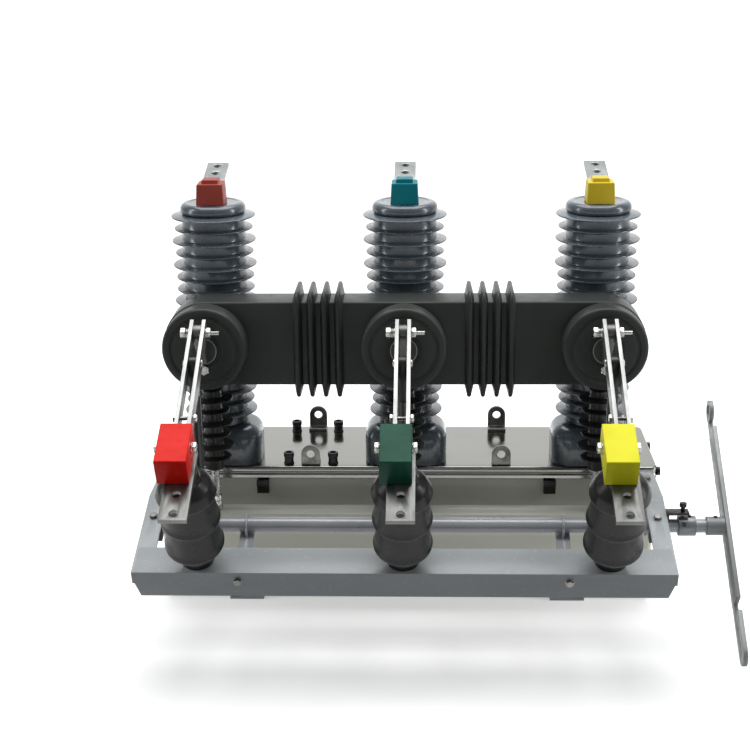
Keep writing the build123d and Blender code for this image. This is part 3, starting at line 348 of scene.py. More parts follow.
TOP_PLASTIC = {
    Phase.LEFT: cover_plastic("top_red", (0.33, 0.06, 0.045), (0.40, 0.08, 0.06)),
    Phase.MIDDLE: cover_plastic("top_teal", (0.004, 0.17, 0.20), (0.010, 0.21, 0.25)),
    Phase.RIGHT: cover_plastic("top_yellow", (0.66, 0.50, 0.03), (0.76, 0.58, 0.05)),
}
LOW_PLASTIC = {
    Phase.LEFT: cover_plastic("low_red", (0.72, 0.007, 0.002), (0.84, 0.013, 0.005)),
    # The middle knife cover is its own dark green, made darker still by painted shade: its colour
    # follows the shaded front of the cover.
    Phase.MIDDLE: cover_plastic("low_green", (0.004, 0.060, 0.034), (0.008, 0.085, 0.052)),
    Phase.RIGHT: cover_plastic("low_yellow", (0.78, 0.74, 0.012), (0.86, 0.82, 0.025)),
}


# ---- surfaces


@dataclass
class Surface:
    """Points in millimetres with the faces between them."""

    points: np.ndarray
    faces: list[list[int]]


def joined(parts: list[Surface]) -> Surface:
    """Join surfaces into one.

    Args:
        parts: the surfaces.

    Returns:
        The surface of all parts.
    """
    starts = np.cumsum([0] + [len(part.points) for part in parts])
    faces = [
        [index + int(start) for index in face]
        for part, start in zip(parts, starts)
        for face in part.faces
    ]
    return Surface(np.vstack([part.points for part in parts]), faces)


def three(make: Callable[[float], Surface]) -> Surface:
    """Join what a function makes at the place of each phase."""
    return joined([make(phase.value) for phase in Phase])


def rounded(corners: Rows, steps: int = 5) -> np.ndarray:
    """Round the corners of an open polyline.

    Each corner P between A and B becomes the curve (1-t)^2 S + 2t(1-t) P + t^2 E,
    where S and E lie on PA and PB at the corner's own distance.

    Args:
        corners: points as (radius, height, rounding distance).
        steps: points on each rounded corner.

    Returns:
        Array of (radius, height).
    """
    largest_share, smallest = 0.49, 1e-4
    table = np.asarray(corners, float)
    points, sizes = table[:, :2], table[:, 2]
    rows = [points[:1]]
    ramp = np.linspace(0.0, 1.0, steps)[:, None]
    for here, before, after, size in zip(points[1:-1], points[:-2], points[2:], sizes[1:-1]):
        back, on = before - here, after - here
        back_length, on_length = np.linalg.norm(back), np.linalg.norm(on)
        reach = min(size, largest_share * back_length, largest_share * on_length)
        if reach < smallest:
            rows.append(here[None])
            continue
        start = here + back / back_length * reach
        end = here + on / on_length * reach
        rows.append((1 - ramp) ** 2 * start + 2 * ramp * (1 - ramp) * here + ramp**2 * end)
    rows.append(points[-1:])
    return np.vstack(rows)


def cross_axes(axis: Spot) -> tuple[np.ndarray, np.ndarray, np.ndarray]:
    """Find two directions square to an axis.

    Args:
        axis: direction of the axis.

    Returns:
        The unit axis and two unit vectors square to it.
    """
    nearly_x = 0.9
    along = np.asarray(axis, float)
    along = along / np.linalg.norm(along)
    helper = (1.0, 0.0, 0.0) if abs(along[0]) < nearly_x else (0.0, 1.0, 0.0)
    first = np.cross(along, helper)
    first = first / np.linalg.norm(first)
    return along, first, np.cross(along, first)


def loft(rings: np.ndarray) -> Surface:
    """Skin a stack of closed rings and fill the first and the last.

    Args:
        rings: array of (ring, point, xyz).

    Returns:
        The skinned surface.
    """
    count, size = rings.shape[:2]
    index = np.arange(count * size).reshape(count, size)
    turn = np.roll(index, -1, axis=1)
    quads = np.stack([index[:-1], turn[:-1], turn[1:], index[1:]], axis=-1)
    faces = quads.reshape(-1, 4).tolist() + [index[0][::-1].tolist(), index[-1].tolist()]
    return Surface(rings.reshape(-1, 3), faces)


def lathe(profile: np.ndarray, origin: Spot, axis: Spot, segments: int) -> Surface:
    """Turn a profile round an axis: P = origin + h axis + r (cos a, sin a).

    Args:
        profile: array of (radius, height), both ends may reach the axis.
        origin: point on the axis, in millimetres.
        axis: direction of the axis.
        segments: points round the axis.

    Returns:
        The turned surface, filled at both ends.
    """
    smallest_radius = 0.02
    along, first, second = cross_axes(axis)
    angle = np.linspace(0.0, 2 * np.pi, segments, endpoint=False)
    spoke = np.cos(angle)[:, None] * first + np.sin(angle)[:, None] * second
    radius = np.maximum(profile[:, 0], smallest_radius)[:, None, None]
    return loft(np.asarray(origin, float) + profile[:, 1, None, None] * along + radius * spoke)


def stadium(half: float, radius: float, count: int) -> np.ndarray:
    """Draw a slot: two half circles joined by straight runs.

    Args:
        half: distance of each circle's centre from the middle.
        radius: radius of the circles.
        count: points of the outline.

    Returns:
        Array of (x, y).
    """
    angle = np.linspace(-np.pi / 2, np.pi / 2, count // 2)
    right = np.stack([half + radius * np.cos(angle), radius * np.sin(angle)], axis=1)
    return np.vstack([right, -right])


def soft_box(half_x: float, half_y: float, corner: float, count: int = 8) -> np.ndarray:
    """Draw a rounded rectangle: four quarter circles at the inset corners.

    Args:
        half_x: half its width.
        half_y: half its depth.
        corner: radius of the corners.
        count: points of each corner.

    Returns:
        Array of (x, y).
    """
    smallest_corner = 0.01
    corner = max(min(corner, half_x, half_y), smallest_corner)
    quarter = np.linspace(0.0, np.pi / 2, count)
    turns = np.concatenate([quarter + number * np.pi / 2 for number in range(4)])
    signs = np.array([[1, 1], [-1, 1], [-1, -1], [1, -1]], float)
    centres = np.repeat(signs * (half_x - corner, half_y - corner), count, axis=0)
    return centres + corner * np.stack([np.cos(turns), np.sin(turns)], axis=1)


def level(outline: np.ndarray, height: float) -> np.ndarray:
    """Lay a flat outline at a height, as points (x, y, height)."""
    return np.column_stack([outline, np.full(len(outline), height)])


def slope(degrees: float) -> np.ndarray:
    """Return the side direction (0, cos, sin) that rises to the rear."""
    return np.array([0.0, math.cos(math.radians(degrees)), math.sin(math.radians(degrees))])


def square_to(direction: np.ndarray) -> np.ndarray:
    """Return the side direction that stands upright on another."""
    return np.array([0.0, -direction[2], direction[1]])


# ---- workshop


class Workshop:
    """Turns surfaces and copies of nodes into dressed pieces."""

    PIECE_SHARP = 35.0
    COPY_SHARP = 40.0
    MERGE_DISTANCE = 2e-6
    FLAT_ANGLE = 0.8
    BEVEL_ANGLE = 30.0

    def __init__(self) -> None:
        """Start with an empty list of made pieces."""
        self.made: list[str] = []

    def _close(
        self, mesh: bpy.types.Mesh, finish: Finish, name: str, body: str,
        nodes: tuple[str, ...], sharp: float,
    ) -> None:
        """Shade a mesh, dress it, and make it ride on its body.

        Args:
            mesh: the finished mesh.
            finish: its finish.
            name: name of the piece.
            body: body that it rides on.
            nodes: nodes that it stands for.
            sharp: angle in degrees above which an edge stays sharp.
        """
        mesh.shade_smooth()
        mesh.set_sharp_from_angle(angle=math.radians(sharp))
        mesh.materials.clear()
        mesh.materials.append(finish.material())
        piece = bpy.data.objects.new(name, mesh)
        bpy.context.scene.collection.objects.link(piece)
        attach(piece, body)
        if nodes:
            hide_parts(*nodes)
        self.made.append(name)
        LOG.info("%s rides on %s with %d faces", name, body, len(mesh.polygons))

    def piece(
        self, name: str, shape: Surface, finish: Finish, body: str = "housing",
        nodes: tuple[str, ...] = (),
    ) -> None:
        """Make a piece from a surface.

        Args:
            name: name of the piece.
            shape: surface in millimetres.
            finish: its finish.
            body: body that it rides on.
            nodes: nodes that it stands for.
        """
        mesh = bpy.data.meshes.new(name)
        mesh.from_pydata((shape.points * MM).tolist(), [], shape.faces)
        solid = bmesh.new()
        solid.from_mesh(mesh)
        bmesh.ops.recalc_face_normals(solid, faces=solid.faces)
        solid.to_mesh(mesh)
        solid.free()
        self._close(mesh, finish, name, body, nodes, self.PIECE_SHARP)

    def softened(self, node: str, finish: Finish, width: float, segments: int = 2) -> None:
        """Make a copy of a node with its sharp edges rounded.

        Args:
            node: node to copy and to stand for.
            finish: finish of the copy.
            width: width of the rounding in millimetres.
            segments: steps of the rounding.
        """
        solid = bmesh.new()
        solid.from_mesh(frame["nodes"][node].data)
        bmesh.ops.remove_doubles(solid, verts=solid.verts, dist=self.MERGE_DISTANCE)
        bmesh.ops.dissolve_limit(
            solid, angle_limit=math.radians(self.FLAT_ANGLE), verts=solid.verts, edges=solid.edges
        )
        bmesh.ops.recalc_face_normals(solid, faces=solid.faces)
        limit = math.radians(self.BEVEL_ANGLE)
        edges = [
            edge for edge in solid.edges if edge.is_manifold and edge.calc_face_angle() > limit
        ]
        bmesh.ops.bevel(
            solid, geom=edges, offset=width * MM, offset_type="OFFSET", segments=segments,
            profile=0.5, affect="EDGES", clamp_overlap=True,
        )
        mesh = bpy.data.meshes.new(f"soft_{node}")
        solid.to_mesh(mesh)
        solid.free()
        body = body_of(frame["nodes"][node])[0]
        self._close(mesh, finish, f"soft_{node}", body, (node,), self.COPY_SHARP)


SHOP = Workshop()


# ---- hardware


@dataclass(frozen=True)
class Hardware:
    """Turned and six sided small parts, all sizes in millimetres."""

    bevel: float = 0.54
    foot_share: float = 0.985
    cone_share: float = 0.97
    face_share: float = 0.62
    nut_points: int = 48
    washer_edge: float = 0.5
    pitch: float = 1.6
    groove_share: float = 0.09
    steps_per_pitch: int = 6
    tip_share: float = 0.7
    tip_height: float = 0.01
    wire_points: int = 8
    points_per_turn: int = 28

    def nut(self, origin: Spot, axis: Spot, radius: float, length: float) -> Surface:
        """Make a six sided nut: the hexagon r = R cos 30 / cos(a mod 60 - 30), capped by a cone.

        Args:
            origin: middle of the seat.
            axis: direction away from the seat.
            radius: radius over the corners.
            length: height of the nut.

        Returns:
            The nut.
        """
        along, first, second = cross_axes(axis)
        angle = np.linspace(0.0, 2 * np.pi, self.nut_points, endpoint=False)
        spoke = np.cos(angle)[:, None] * first + np.sin(angle)[:, None] * second
        flat = radius * math.cos(math.pi / 6)
        hexagon = flat / np.cos((angle % (np.pi / 3)) - np.pi / 6)
        sections = (
            (0.0, flat * self.foot_share),
            (self.bevel, radius),
            (length - self.bevel, radius),
            (length, flat * self.cone_share),
            (length, flat * self.face_share),
        )
        return loft(np.stack([
            origin + height * along + np.minimum(hexagon, limit)[:, None] * spoke
            for height, limit in sections
        ]))

    def washer(self, origin: Spot, axis: Spot, radius: float, length: float) -> Surface:
        """Turn a washer with rounded edges.

        Args:
            origin: middle of the seat.
            axis: direction away from the seat.
            radius: radius of the washer.
            length: thickness of the washer.

        Returns:
            The washer.
        """
        edge = self.washer_edge
        corners = [(0.0, 0.0, 0), (radius, 0.0, edge), (radius, length, edge), (0.0, length, 0)]
        return lathe(rounded(corners), origin, axis, segments=40)

    def thread(self, origin: Spot, axis: Spot, radius: float, length: float) -> Surface:
        """Turn a threaded stud: the radius runs as R - d |sin(pi h / pitch)|.

        Args:
            origin: middle of the first end.
            axis: direction of the stud.
            radius: radius over the thread.
            length: length of the stud.

        Returns:
            The stud.
        """
        height = np.linspace(0.0, length, max(int(length / self.pitch * self.steps_per_pitch), 8))
        groove = self.groove_share * radius * np.abs(np.sin(np.pi * height / self.pitch))
        tip = length + self.tip_height
        body = np.stack([radius - groove, height], axis=1)
        profile = np.vstack([[0.0, 0.0], body, [radius * self.tip_share, tip], [0.0, tip]])
        return lathe(profile, origin, axis, segments=24)

    def coil(
        self, origin: Spot, axis: Spot, radius: float, length: float,
        turns: float, wire: float,
    ) -> Surface:
        """Wind a coil: the wire's middle runs as r (cos a, sin a) + h a.

        Args:
            origin: middle of the first turn.
            axis: direction of the coil.
            radius: radius of the wire's middle.
            length: length of the coil.
            turns: number of turns.
            wire: radius of the wire.

        Returns:
            The coil.
        """
        along, first, second = cross_axes(axis)
        whole = 2 * np.pi * turns
        angle = np.linspace(0.0, whole, int(turns * self.points_per_turn))[:, None]
        outward = np.cos(angle) * first + np.sin(angle) * second
        middle = origin + radius * outward + along * angle / whole * length
        run = np.gradient(middle, axis=0)
        upright = np.cross(run / np.linalg.norm(run, axis=1, keepdims=True), outward)
        ring = np.linspace(0.0, 2 * np.pi, self.wire_points, endpoint=False)[None, :, None]
        section = np.cos(ring) * outward[:, None] + np.sin(ring) * upright[:, None]
        return loft(middle[:, None] + wire * section)


KIT = Hardware()


# ---- layout


@dataclass(frozen=True)
class Layout:
    """Places that several assemblies share, in millimetres; pairs are (y, z)."""

    box_top: float = 267.0
    rail_top: float = 262.0
    box_front: float = -112.0
    pole_y: float = -56.0
    beam_z: float = 526.0
    beam_front: float = -201.0
    beam_rear: float = -135.0
    boss_face: float = -239.0
    stay_y: float = -168.0
    hinge: Pair = (-290.0, 571.0)
    contact: Pair = (-506.06, 449.26)
    knife_pin: Pair = (-350.11, 537.13)
    spring_bolt: Pair = (-453.79, 478.71)
    shaft: Pair = (-281.0, 225.0)
    plate_bottom: Pair = (-499.47, 416.22)
    post_offset: float = 7.4
    member_edge: Pair = (-431.04, 203.12)
    crease: Pair = (-242.0, 262.0)
    cap_top: float = 746.5
    knife_slope: float = 29.4

    def at(self, x: float, point: Pair) -> np.ndarray:
        """Return a point of the side view in the plane at x."""
        return np.array([x, point[0], point[1]])


HERE = Layout()


@dataclass(frozen=True)
class ShedRow:
    """A row of sheds on a trunk, in millimetres from the foot of the insulator."""

    start: float
    pitch: float
    radii: tuple[float, ...]
    trunk: float
    lip: float = 1.2
    hollow: float = 3.2
    root: float = 2.6
    blend: float = 2.5

    def corners(self) -> Rows:
        """List the section's corners, from the lowest shed upwards.

        A rim is two lips thick. At the trunk the underside drops by the
        hollow and the upper side rises by the root.

        Returns:
            Points as (radius, height, rounding distance).
        """
        rows: Rows = []
        for number, radius in enumerate(self.radii):
            height = self.start + self.pitch * number
            rows += [
                (self.trunk, height - self.hollow, self.blend),
                (radius, height - self.lip, self.lip),
                (radius, height + self.lip, self.lip),
                (self.trunk, height + self.root, self.blend),
            ]
        return rows


LOWER_SHEDS = ShedRow(94.3, 21.3, (66.0, 61.5, 66.0, 61.5, 66.0), 48.0)
UPPER_SHEDS = ShedRow(214.8, 21.9, (74.2, 69.3) * 3 + (69.3, 74.2) * 3, 56.0)
STAY_SHEDS = ShedRow(41.0, 22.0, (30.0, 36.0) * 3, 16.5, lip=1.1, hollow=3.0, root=3.0)

# The sections below are rows of (radius or inset, height, rounding distance).

LID_RIM: Rows = [
    (5, -22.5, 0), (2.6, -25, 2), (0, -23.5, 2.2), (0, -15.5, 2), (1.4, -13, 1.5),
    (0.4, -9, 3), (0.6, -0.4, 6.5), (13, 0, 4), (24, 0, 0),
]
SLEEVE: Rows = [
    (0, 0, 0), (9.5, 0, 0.4), (9.5, 2, 0.8), (8.4, 3.2, 0.6), (8.4, 12.5, 0.6),
    (9.5, 13.8, 0.5), (9.5, 20.5, 0.8), (8.8, 21.5, 0.4), (5.6, 21.5, 0.5), (5.2, 12.5, 0.4),
    (0, 12.5, 0),
]
COLUMN_FOOT: Rows = [(0, 74, 0), (48, 74, 0.5)]
COLUMN_STEP: Rows = [(48, 195, 2), (56, 201, 2)]
COLUMN_CAP: Rows = [
    (51, 461, 3), (56, 461.6, 3), (58, 466, 3), (57.4, 472.5, 3), (54, 477.4, 3),
    (48.5, 479.5, 3), (43, 479.2, 2), (41, 478.2, 1.5), (0, 478.2, 0),
]
NECK: Rows = [(0, 2, 0), (47, 2, 1), (47, -2, 3), (42, -7, 4), (42, -24, 6), (0, -34, 0)]
TOP_COVER: Rows = [(24.5, 0, 0), (22.6, 36.5, 1.6), (15, 36.5, 1), (14, 43.5, 1.4), (6, 43.5, 0)]
BOSS: Rows = [
    (0, -4, 0), (72, -4, 1), (72, 38, 7), (59, 38, 1), (57.5, 36, 1.2),
    (53.5, 36, 1.2), (52, 37.6, 1), (30, 37.6, 1), (28.5, 36.6, 0.8), (0, 36.6, 0),
]
PAD_DISC: Rows = [(0, -5, 0), (21.6, -5, 0.2), (21.6, 0.5, 0.3), (0, 0.5, 0)]
PIN_HEAD: Rows = [(0, 0, 0), (6.5, 0, 0.5), (6.5, 2.2, 1.2), (4.6, 3.5, 1), (0, 3.5, 0)]
PIN_SHANK: Rows = [(0, 0, 0), (4, 0, 0.1), (4, 26, 0.1), (0, 26, 0)]
POST_FOOT: Rows = [(0, -8, 0), (27, -8, 0.5), (27, 10, 4), (38, 26, 8)]
POST_SHED: Rows = [(41, -7.5, 2), (48.4, -2, 1.2), (48.9, 2, 1.5), (46, 9, 6), (43.5, 36, 8)]
POST_HEAD: Rows = [(41, 188, 5), (25, 201, 6), (25, 220.5, 1), (0, 220.5, 0)]
STAY_FOOT: Rows = [(0, 19, 0), (16.5, 19, 2)]
STAY_HEAD: Rows = [(16.5, 167, 2), (24, 175, 3), (24, 186, 0.5), (0, 186, 0)]
SHAFT: Rows = [
    (0, -449, 0), (13.25, -449, 1), (13.25, -417.6, 0.2), (18, -417.6, 1),
    (18, -411.6, 1), (13.25, -411.6, 0.2), (13.25, 411.6, 0.2), (18, 411.6, 1),
    (18, 417.6, 1), (13.25, 417.6, 0.2), (13.25, 449, 1), (11.75, 449, 0.3),
    (11.75, 545.5, 0.8), (0, 545.5, 0),
]

# Parts on a bolt: tool, start from the phase's plane, line, direction and sizes.

HINGE_STACK = (
    (KIT.thread, -28.4, HERE.hinge, RIGHT, 5.0, 49.8),
    (KIT.washer, -13.4, HERE.hinge, LEFT, 8.5, 1.6),
    (KIT.coil, -15.2, HERE.hinge, LEFT, 6.6, 4.4, 2.0, 1.1),
    (KIT.washer, -20.0, HERE.hinge, LEFT, 8.5, 0.6),
    (KIT.nut, -20.4, HERE.hinge, LEFT, 9.0, 8.0),
    (KIT.washer, 13.4, HERE.hinge, RIGHT, 8.5, 1.4),
    (KIT.nut, 14.8, HERE.hinge, RIGHT, 9.0, 6.6),
    (KIT.thread, 21.4, HERE.hinge, RIGHT, 3.5, 14.0),
)
KNIFE_STACK = (
    (KIT.thread, -18.5, HERE.spring_bolt, RIGHT, 3.5, 37.0),
    (KIT.thread, -41.0, HERE.contact, RIGHT, 4.0, 66.0),
    (KIT.washer, -13.0, HERE.spring_bolt, LEFT, 7.0, 1.0),
    (KIT.nut, -14.0, HERE.spring_bolt, LEFT, 7.0, 4.6),
    (KIT.washer, -33.0, HERE.contact, LEFT, 9.0, 1.4),
    (KIT.nut, -34.4, HERE.contact, LEFT, 9.0, 6.5),
    (KIT.washer, 13.0, HERE.spring_bolt, RIGHT, 7.0, 1.0),
    (KIT.nut, 14.0, HERE.spring_bolt, RIGHT, 7.0, 4.6),
    (KIT.washer, 17.0, HERE.contact, RIGHT, 9.0, 1.4),
    (KIT.nut, 18.4, HERE.contact, RIGHT, 9.0, 6.5),
)


def stacked(x: float, rows: tuple[tuple, ...]) -> list[Surface]:
    """Make the parts of a stack, in the order of its rows, beside a phase's plane."""
    return [make(HERE.at(x + start, line), *rest) for make, start, line, *rest in rows]


# ---- assemblies


@dataclass
class MechanismBox:
    """Steel box with its rolled lid, feet, latches, lugs and sleeves."""

    half_x: float = 457.0
    half_y: float = 112.0
    corner: float = 12.0
    corner_give: float = 9.0
    lug_x: float = -174.0
    sleeve_offset: float = 40.5
    sleeve_y: Pair = (-94.0, 80.0)

    def lid(self) -> Surface:
        """Loft the lid: rounded rectangles that shrink along the rim's section.

        Returns:
            The lid, closed below by a flat underside.
        """
        rings = []
        for inset, height in rounded(LID_RIM, steps=6):
            corner = self.corner - min(inset, self.corner_give)
            outline = soft_box(self.half_x - inset, self.half_y - inset, corner)
            rings.append(level(outline, HERE.box_top + height))
        return loft(np.stack(rings))

    def sleeves(self) -> Surface:
        """Turn the four threaded sleeves, hollow and with a rolled collar.

        Returns:
            The four sleeves on the lid.
        """
        profile = rounded(SLEEVE)
        return joined([
            lathe(profile, (self.lug_x + shift, place, HERE.box_top), UP, segments=40)
            for shift in (-self.sleeve_offset, self.sleeve_offset)
            for place in self.sleeve_y
        ])

    def build(self) -> None:
        """Make the pieces of the box."""
        SHOP.piece("lid_skin", self.lid(), LID_STEEL, nodes=("box_lid",))
        SHOP.softened("box_body", BODY_STEEL, 0.8)
        SHOP.softened("mounting_feet", FRAME_PAINT, 0.8)
        SHOP.softened("lid_bolts", DARK_STEEL, 0.8)
        SHOP.softened("lid_latches", DARK_STEEL, 1.2, 3)
        SHOP.softened("lifting_lugs", LUG_STEEL, 0.9, 3)
        SHOP.piece("sleeve_turnings", self.sleeves(), DARK_STEEL, nodes=("lug_sleeves",))


@dataclass
class Poles:
    """The three poles with their bases, insulators, terminals and covers."""

    base_half: Pair = (74.0, 54.0)
    base_corner: float = 34.0
    base_height: float = 74.0
    base_bevel: Pair = (1.2, 2.0)
    shoulder: float = 28.0
    cover_y: float = -13.6
    button_below: float = 16.0
    button_start: float = 36.0
    button_ramp: float = 4.0
    button_shift: float = -1.0
    cover_narrowing: float = 0.4
    cover_corners: Pair = (2.0, 1.5)

    def base(self, x: float) -> Surface:
        """Loft the base: rounded rectangles whose inset follows a quarter circle.

        Args:
            x: place of the phase.

        Returns:
            The base with its domed shoulder.
        """
        turn = np.linspace(0.0, np.pi / 2, 14)
        bevel_inset, bevel_height = self.base_bevel
        inset = np.concatenate([[bevel_inset, 0.0], self.shoulder * (1 - np.cos(turn))])
        dome = self.base_height - self.shoulder * (1 - np.sin(turn))
        rings = []
        for i, h in zip(inset, np.concatenate([[0.0, bevel_height], dome])):
            half_x, half_y = self.base_half
            outline = soft_box(half_x - i, half_y - i, self.base_corner - i, count=14)
            rings.append(level(outline + (x, HERE.pole_y), HERE.box_top + h))
        return loft(np.stack(rings))

    def column(self, x: float) -> Surface:
        """Turn the insulator with its sheds, step and cap.

        Args:
            x: place of the phase.

        Returns:
            The insulator.
        """
        lower, upper = LOWER_SHEDS.corners(), UPPER_SHEDS.corners()[:-1]
        corners = [*COLUMN_FOOT, *lower, *COLUMN_STEP, *upper, *COLUMN_CAP]
        return lathe(rounded(corners), (x, HERE.pole_y, HERE.box_top), UP, segments=128)

    def neck(self, x: float) -> Surface:
        """Turn the neck between insulator and beam, widened at both ends."""
        return lathe(rounded(NECK), (x, HERE.beam_rear, HERE.beam_z), FRONT, segments=72)

    def cover(self, x: float) -> Surface:
        """Loft a top cover: rounded squares that narrow upwards, then the button.

        Args:
            x: place of the phase.

        Returns:
            The cover.
        """
        rings = []
        for half, height in rounded(TOP_COVER, steps=6):
            ramp = min(max((height - self.button_start) / self.button_ramp, 0.0), 1.0)
            wide = half > self.button_below
            corner = self.cover_corners[0 if wide else 1]
            outline = soft_box(half, half - self.cover_narrowing * wide, corner, count=5)
            outline += (0.0, self.button_shift * ramp)
            outline += (x, HERE.pole_y + self.cover_y)
            rings.append(level(outline, HERE.cap_top + height))
        return loft(np.stack(rings))

    def build(self) -> None:
        """Make the pieces of the three poles."""
        for phase in Phase:
            x, name = phase.value, phase.node
            insulator = joined([self.column(x), self.neck(x)])
            SHOP.piece(f"base_{name}", self.base(x), SILICONE, nodes=(f"pole_base_{name}",))
            SHOP.piece(f"column_{name}", insulator, SILICONE, nodes=(f"pole_insulator_{name}",))
            SHOP.softened(f"top_terminal_{name}", BRIGHT_TIN, 0.6)
            SHOP.piece(
                f"cover_{name}", self.cover(x), TOP_PLASTIC[phase], nodes=(f"top_cover_{name}",)
            )
        materials = frame["nodes"]["interrupters"].data.materials
        materials.clear()
        materials.append(BOTTLE.material())


@dataclass
class PhaseBeam:
    """Cast beam with two groups of ribs and three turned bosses."""

    half_length: float = 340.0
    radius: float = 74.0
    edge: float = 4.0
    rib_count: int = 4
    rib_rise: float = 20.0
    rib_sink: float = 3.0
    rib_root: float = 8.0
    rib_tip: float = 3.9
    rib_pitch: float = 23.6
    rib_corner: float = 18.0
    corner_taper: float = 0.6
    smallest_corner: float = 5.0
    group_x: float = 147.0

    def body(self) -> Surface:
        """Loft the beam: slots whose inset follows the rounded edges.

        Returns:
            The beam without ribs and bosses.
        """
        turn = np.linspace(0.0, np.pi / 2, 7)
        swing, drop = self.edge * (1 - np.sin(turn)), self.edge * (1 - np.cos(turn))
        front = np.stack([swing, HERE.beam_front + drop], 1)
        back = np.stack([drop, HERE.beam_rear - swing], 1)
        rings = []
        for inset, y in np.vstack([front, back]):
            across, upright = stadium(self.half_length, self.radius - inset, count=120).T
            rings.append(np.column_stack([across, np.full(len(across), y), HERE.beam_z + upright]))
        return loft(np.stack(rings))

    def rib(self, x: float) -> Surface:
        """Loft a rib: rounded rectangles that grow to the tip and shrink again.

        Args:
            x: middle plane of the rib.

        Returns:
            The rib, sunk into the beam.
        """
        turn = np.linspace(-np.pi / 2, np.pi / 2, 9)
        foot = [self.rib_rise + self.rib_sink, self.rib_rise]
        inset = np.concatenate([foot, self.rib_tip * (1 - np.cos(turn)), foot[::-1]])
        tip = self.rib_tip * np.sin(turn)
        place = np.concatenate([[-self.rib_root] * 2, tip, [self.rib_root] * 2])
        half_y = (HERE.beam_rear - HERE.beam_front) / 2 + self.rib_rise
        half_z = self.radius + self.rib_rise
        rings = []
        for i, p in zip(inset, place):
            corner = max(self.rib_corner - i * self.corner_taper, self.smallest_corner)
            outline = soft_box(half_y - i, half_z - i, corner) + (HERE.stay_y, HERE.beam_z)
            rings.append(np.column_stack([np.full(len(outline), x + p), outline]))
        return loft(np.stack(rings))

    def build(self) -> None:
        """Make the beam as one piece."""
        parts = [self.body()]
        for side in (-1, 1):
            for number in range(self.rib_count):
                shift = (number - (self.rib_count - 1) / 2) * self.rib_pitch
                parts.append(self.rib(side * self.group_x + shift))
        for phase in Phase:
            spot = (phase.value, HERE.beam_front, HERE.beam_z)
            parts.append(lathe(rounded(BOSS), spot, FRONT, segments=128))
        SHOP.piece("beam_casting", joined(parts), RESIN, nodes=("phase_beam",))


@dataclass
class Isolator:
    """Hinges, knives, covers, bolts and drive rods of the three phases."""

    seat_drop: float = 34.0
    seat_nut: Pair = (9.0, 6.0)
    disc_lift: float = 6.0
    blade_faces: Pair = (-13.0, 13.0)

    def hinge_parts(self, x: float) -> Surface:
        """Assemble one hinge bolt with its small parts and the seat bolt of its lug."""
        seat = np.array([x, HERE.boss_face, HERE.beam_z - self.seat_drop])
        return joined([*stacked(x, HINGE_STACK), KIT.nut(seat, FRONT, *self.seat_nut)])

    def pad_disc(self, x: float) -> Surface:
        """Turn the dark disc that covers the pad of a hinge lug."""
        spot = (x, HERE.boss_face - self.disc_lift, HERE.beam_z)
        return lathe(rounded(PAD_DISC, steps=3), spot, FRONT, segments=72)

    def knife_parts(self, x: float) -> Surface:
        """Assemble the pin, the spring bolt and the cover bolt of a knife.

        Args:
            x: place of the phase.

        Returns:
            The small parts of one knife.
        """
        head = rounded(PIN_HEAD)
        left, right = (HERE.at(x + shift, HERE.knife_pin) for shift in self.blade_faces)
        pin = [
            lathe(rounded(PIN_SHANK), left, RIGHT, segments=32),
            lathe(head, right, RIGHT, segments=32),
            lathe(head, left, LEFT, segments=32),
        ]
        return joined([*pin, *stacked(x, KNIFE_STACK)])

    def build(self) -> None:
        """Make the pieces of the isolator."""
        SHOP.piece("hinge_hardware", three(self.hinge_parts), ZINC, nodes=("hinge_bolts",))
        SHOP.piece("pad_discs", three(self.pad_disc), RESIN)
        for phase in Phase:
            name = phase.node
            SHOP.softened(f"hinge_lug_{name}", TINNED, 0.7)
            SHOP.softened(f"knife_{name}", KNIFE_SILVER, 0.9, 3)
            SHOP.piece(
                f"knife_hardware_{name}", self.knife_parts(phase.value), ZINC,
                f"{name}_knife", (f"knife_bolts_{name}",),
            )
            SHOP.softened(f"knife_cover_{name}", LOW_PLASTIC[phase], 0.5)
            SHOP.softened(f"drive_rod_{name}", ROD_RESIN, 0.8)


@dataclass
class LowerTerminals:
    """Leaning post insulators with the lower terminals on them."""

    lean: float = 28.0
    length: float = 222.0
    plate_slope: float = 24.5
    shed_places: Triple = (43.0, 106.0, 169.0)

    def post(self, x: float) -> Surface:
        """Turn a leaning post insulator with three thick sheds.

        Args:
            x: place of the phase.

        Returns:
            The insulator, run a little into the frame and up to the plate.
        """
        up = square_to(slope(self.lean))
        top = HERE.at(x, HERE.plate_bottom)
        foot = top - up * self.length - slope(self.plate_slope) * HERE.post_offset
        sheds = [
            (radius, place + height, size)
            for place in self.shed_places
            for radius, height, size in POST_SHED
        ]
        corners = [*POST_FOOT, *sheds[:-1], *POST_HEAD]
        return lathe(rounded(corners, steps=6), foot, up, segments=112)

    def build(self) -> None:
        """Make the posts and dress the terminals."""
        for phase in Phase:
            name = phase.node
            SHOP.piece(
                f"leaning_post_{name}", self.post(phase.value), DARK_SILICONE,
                nodes=(f"post_insulator_{name}",),
            )
            SHOP.softened(f"terminal_{name}", TINNED, 0.7)


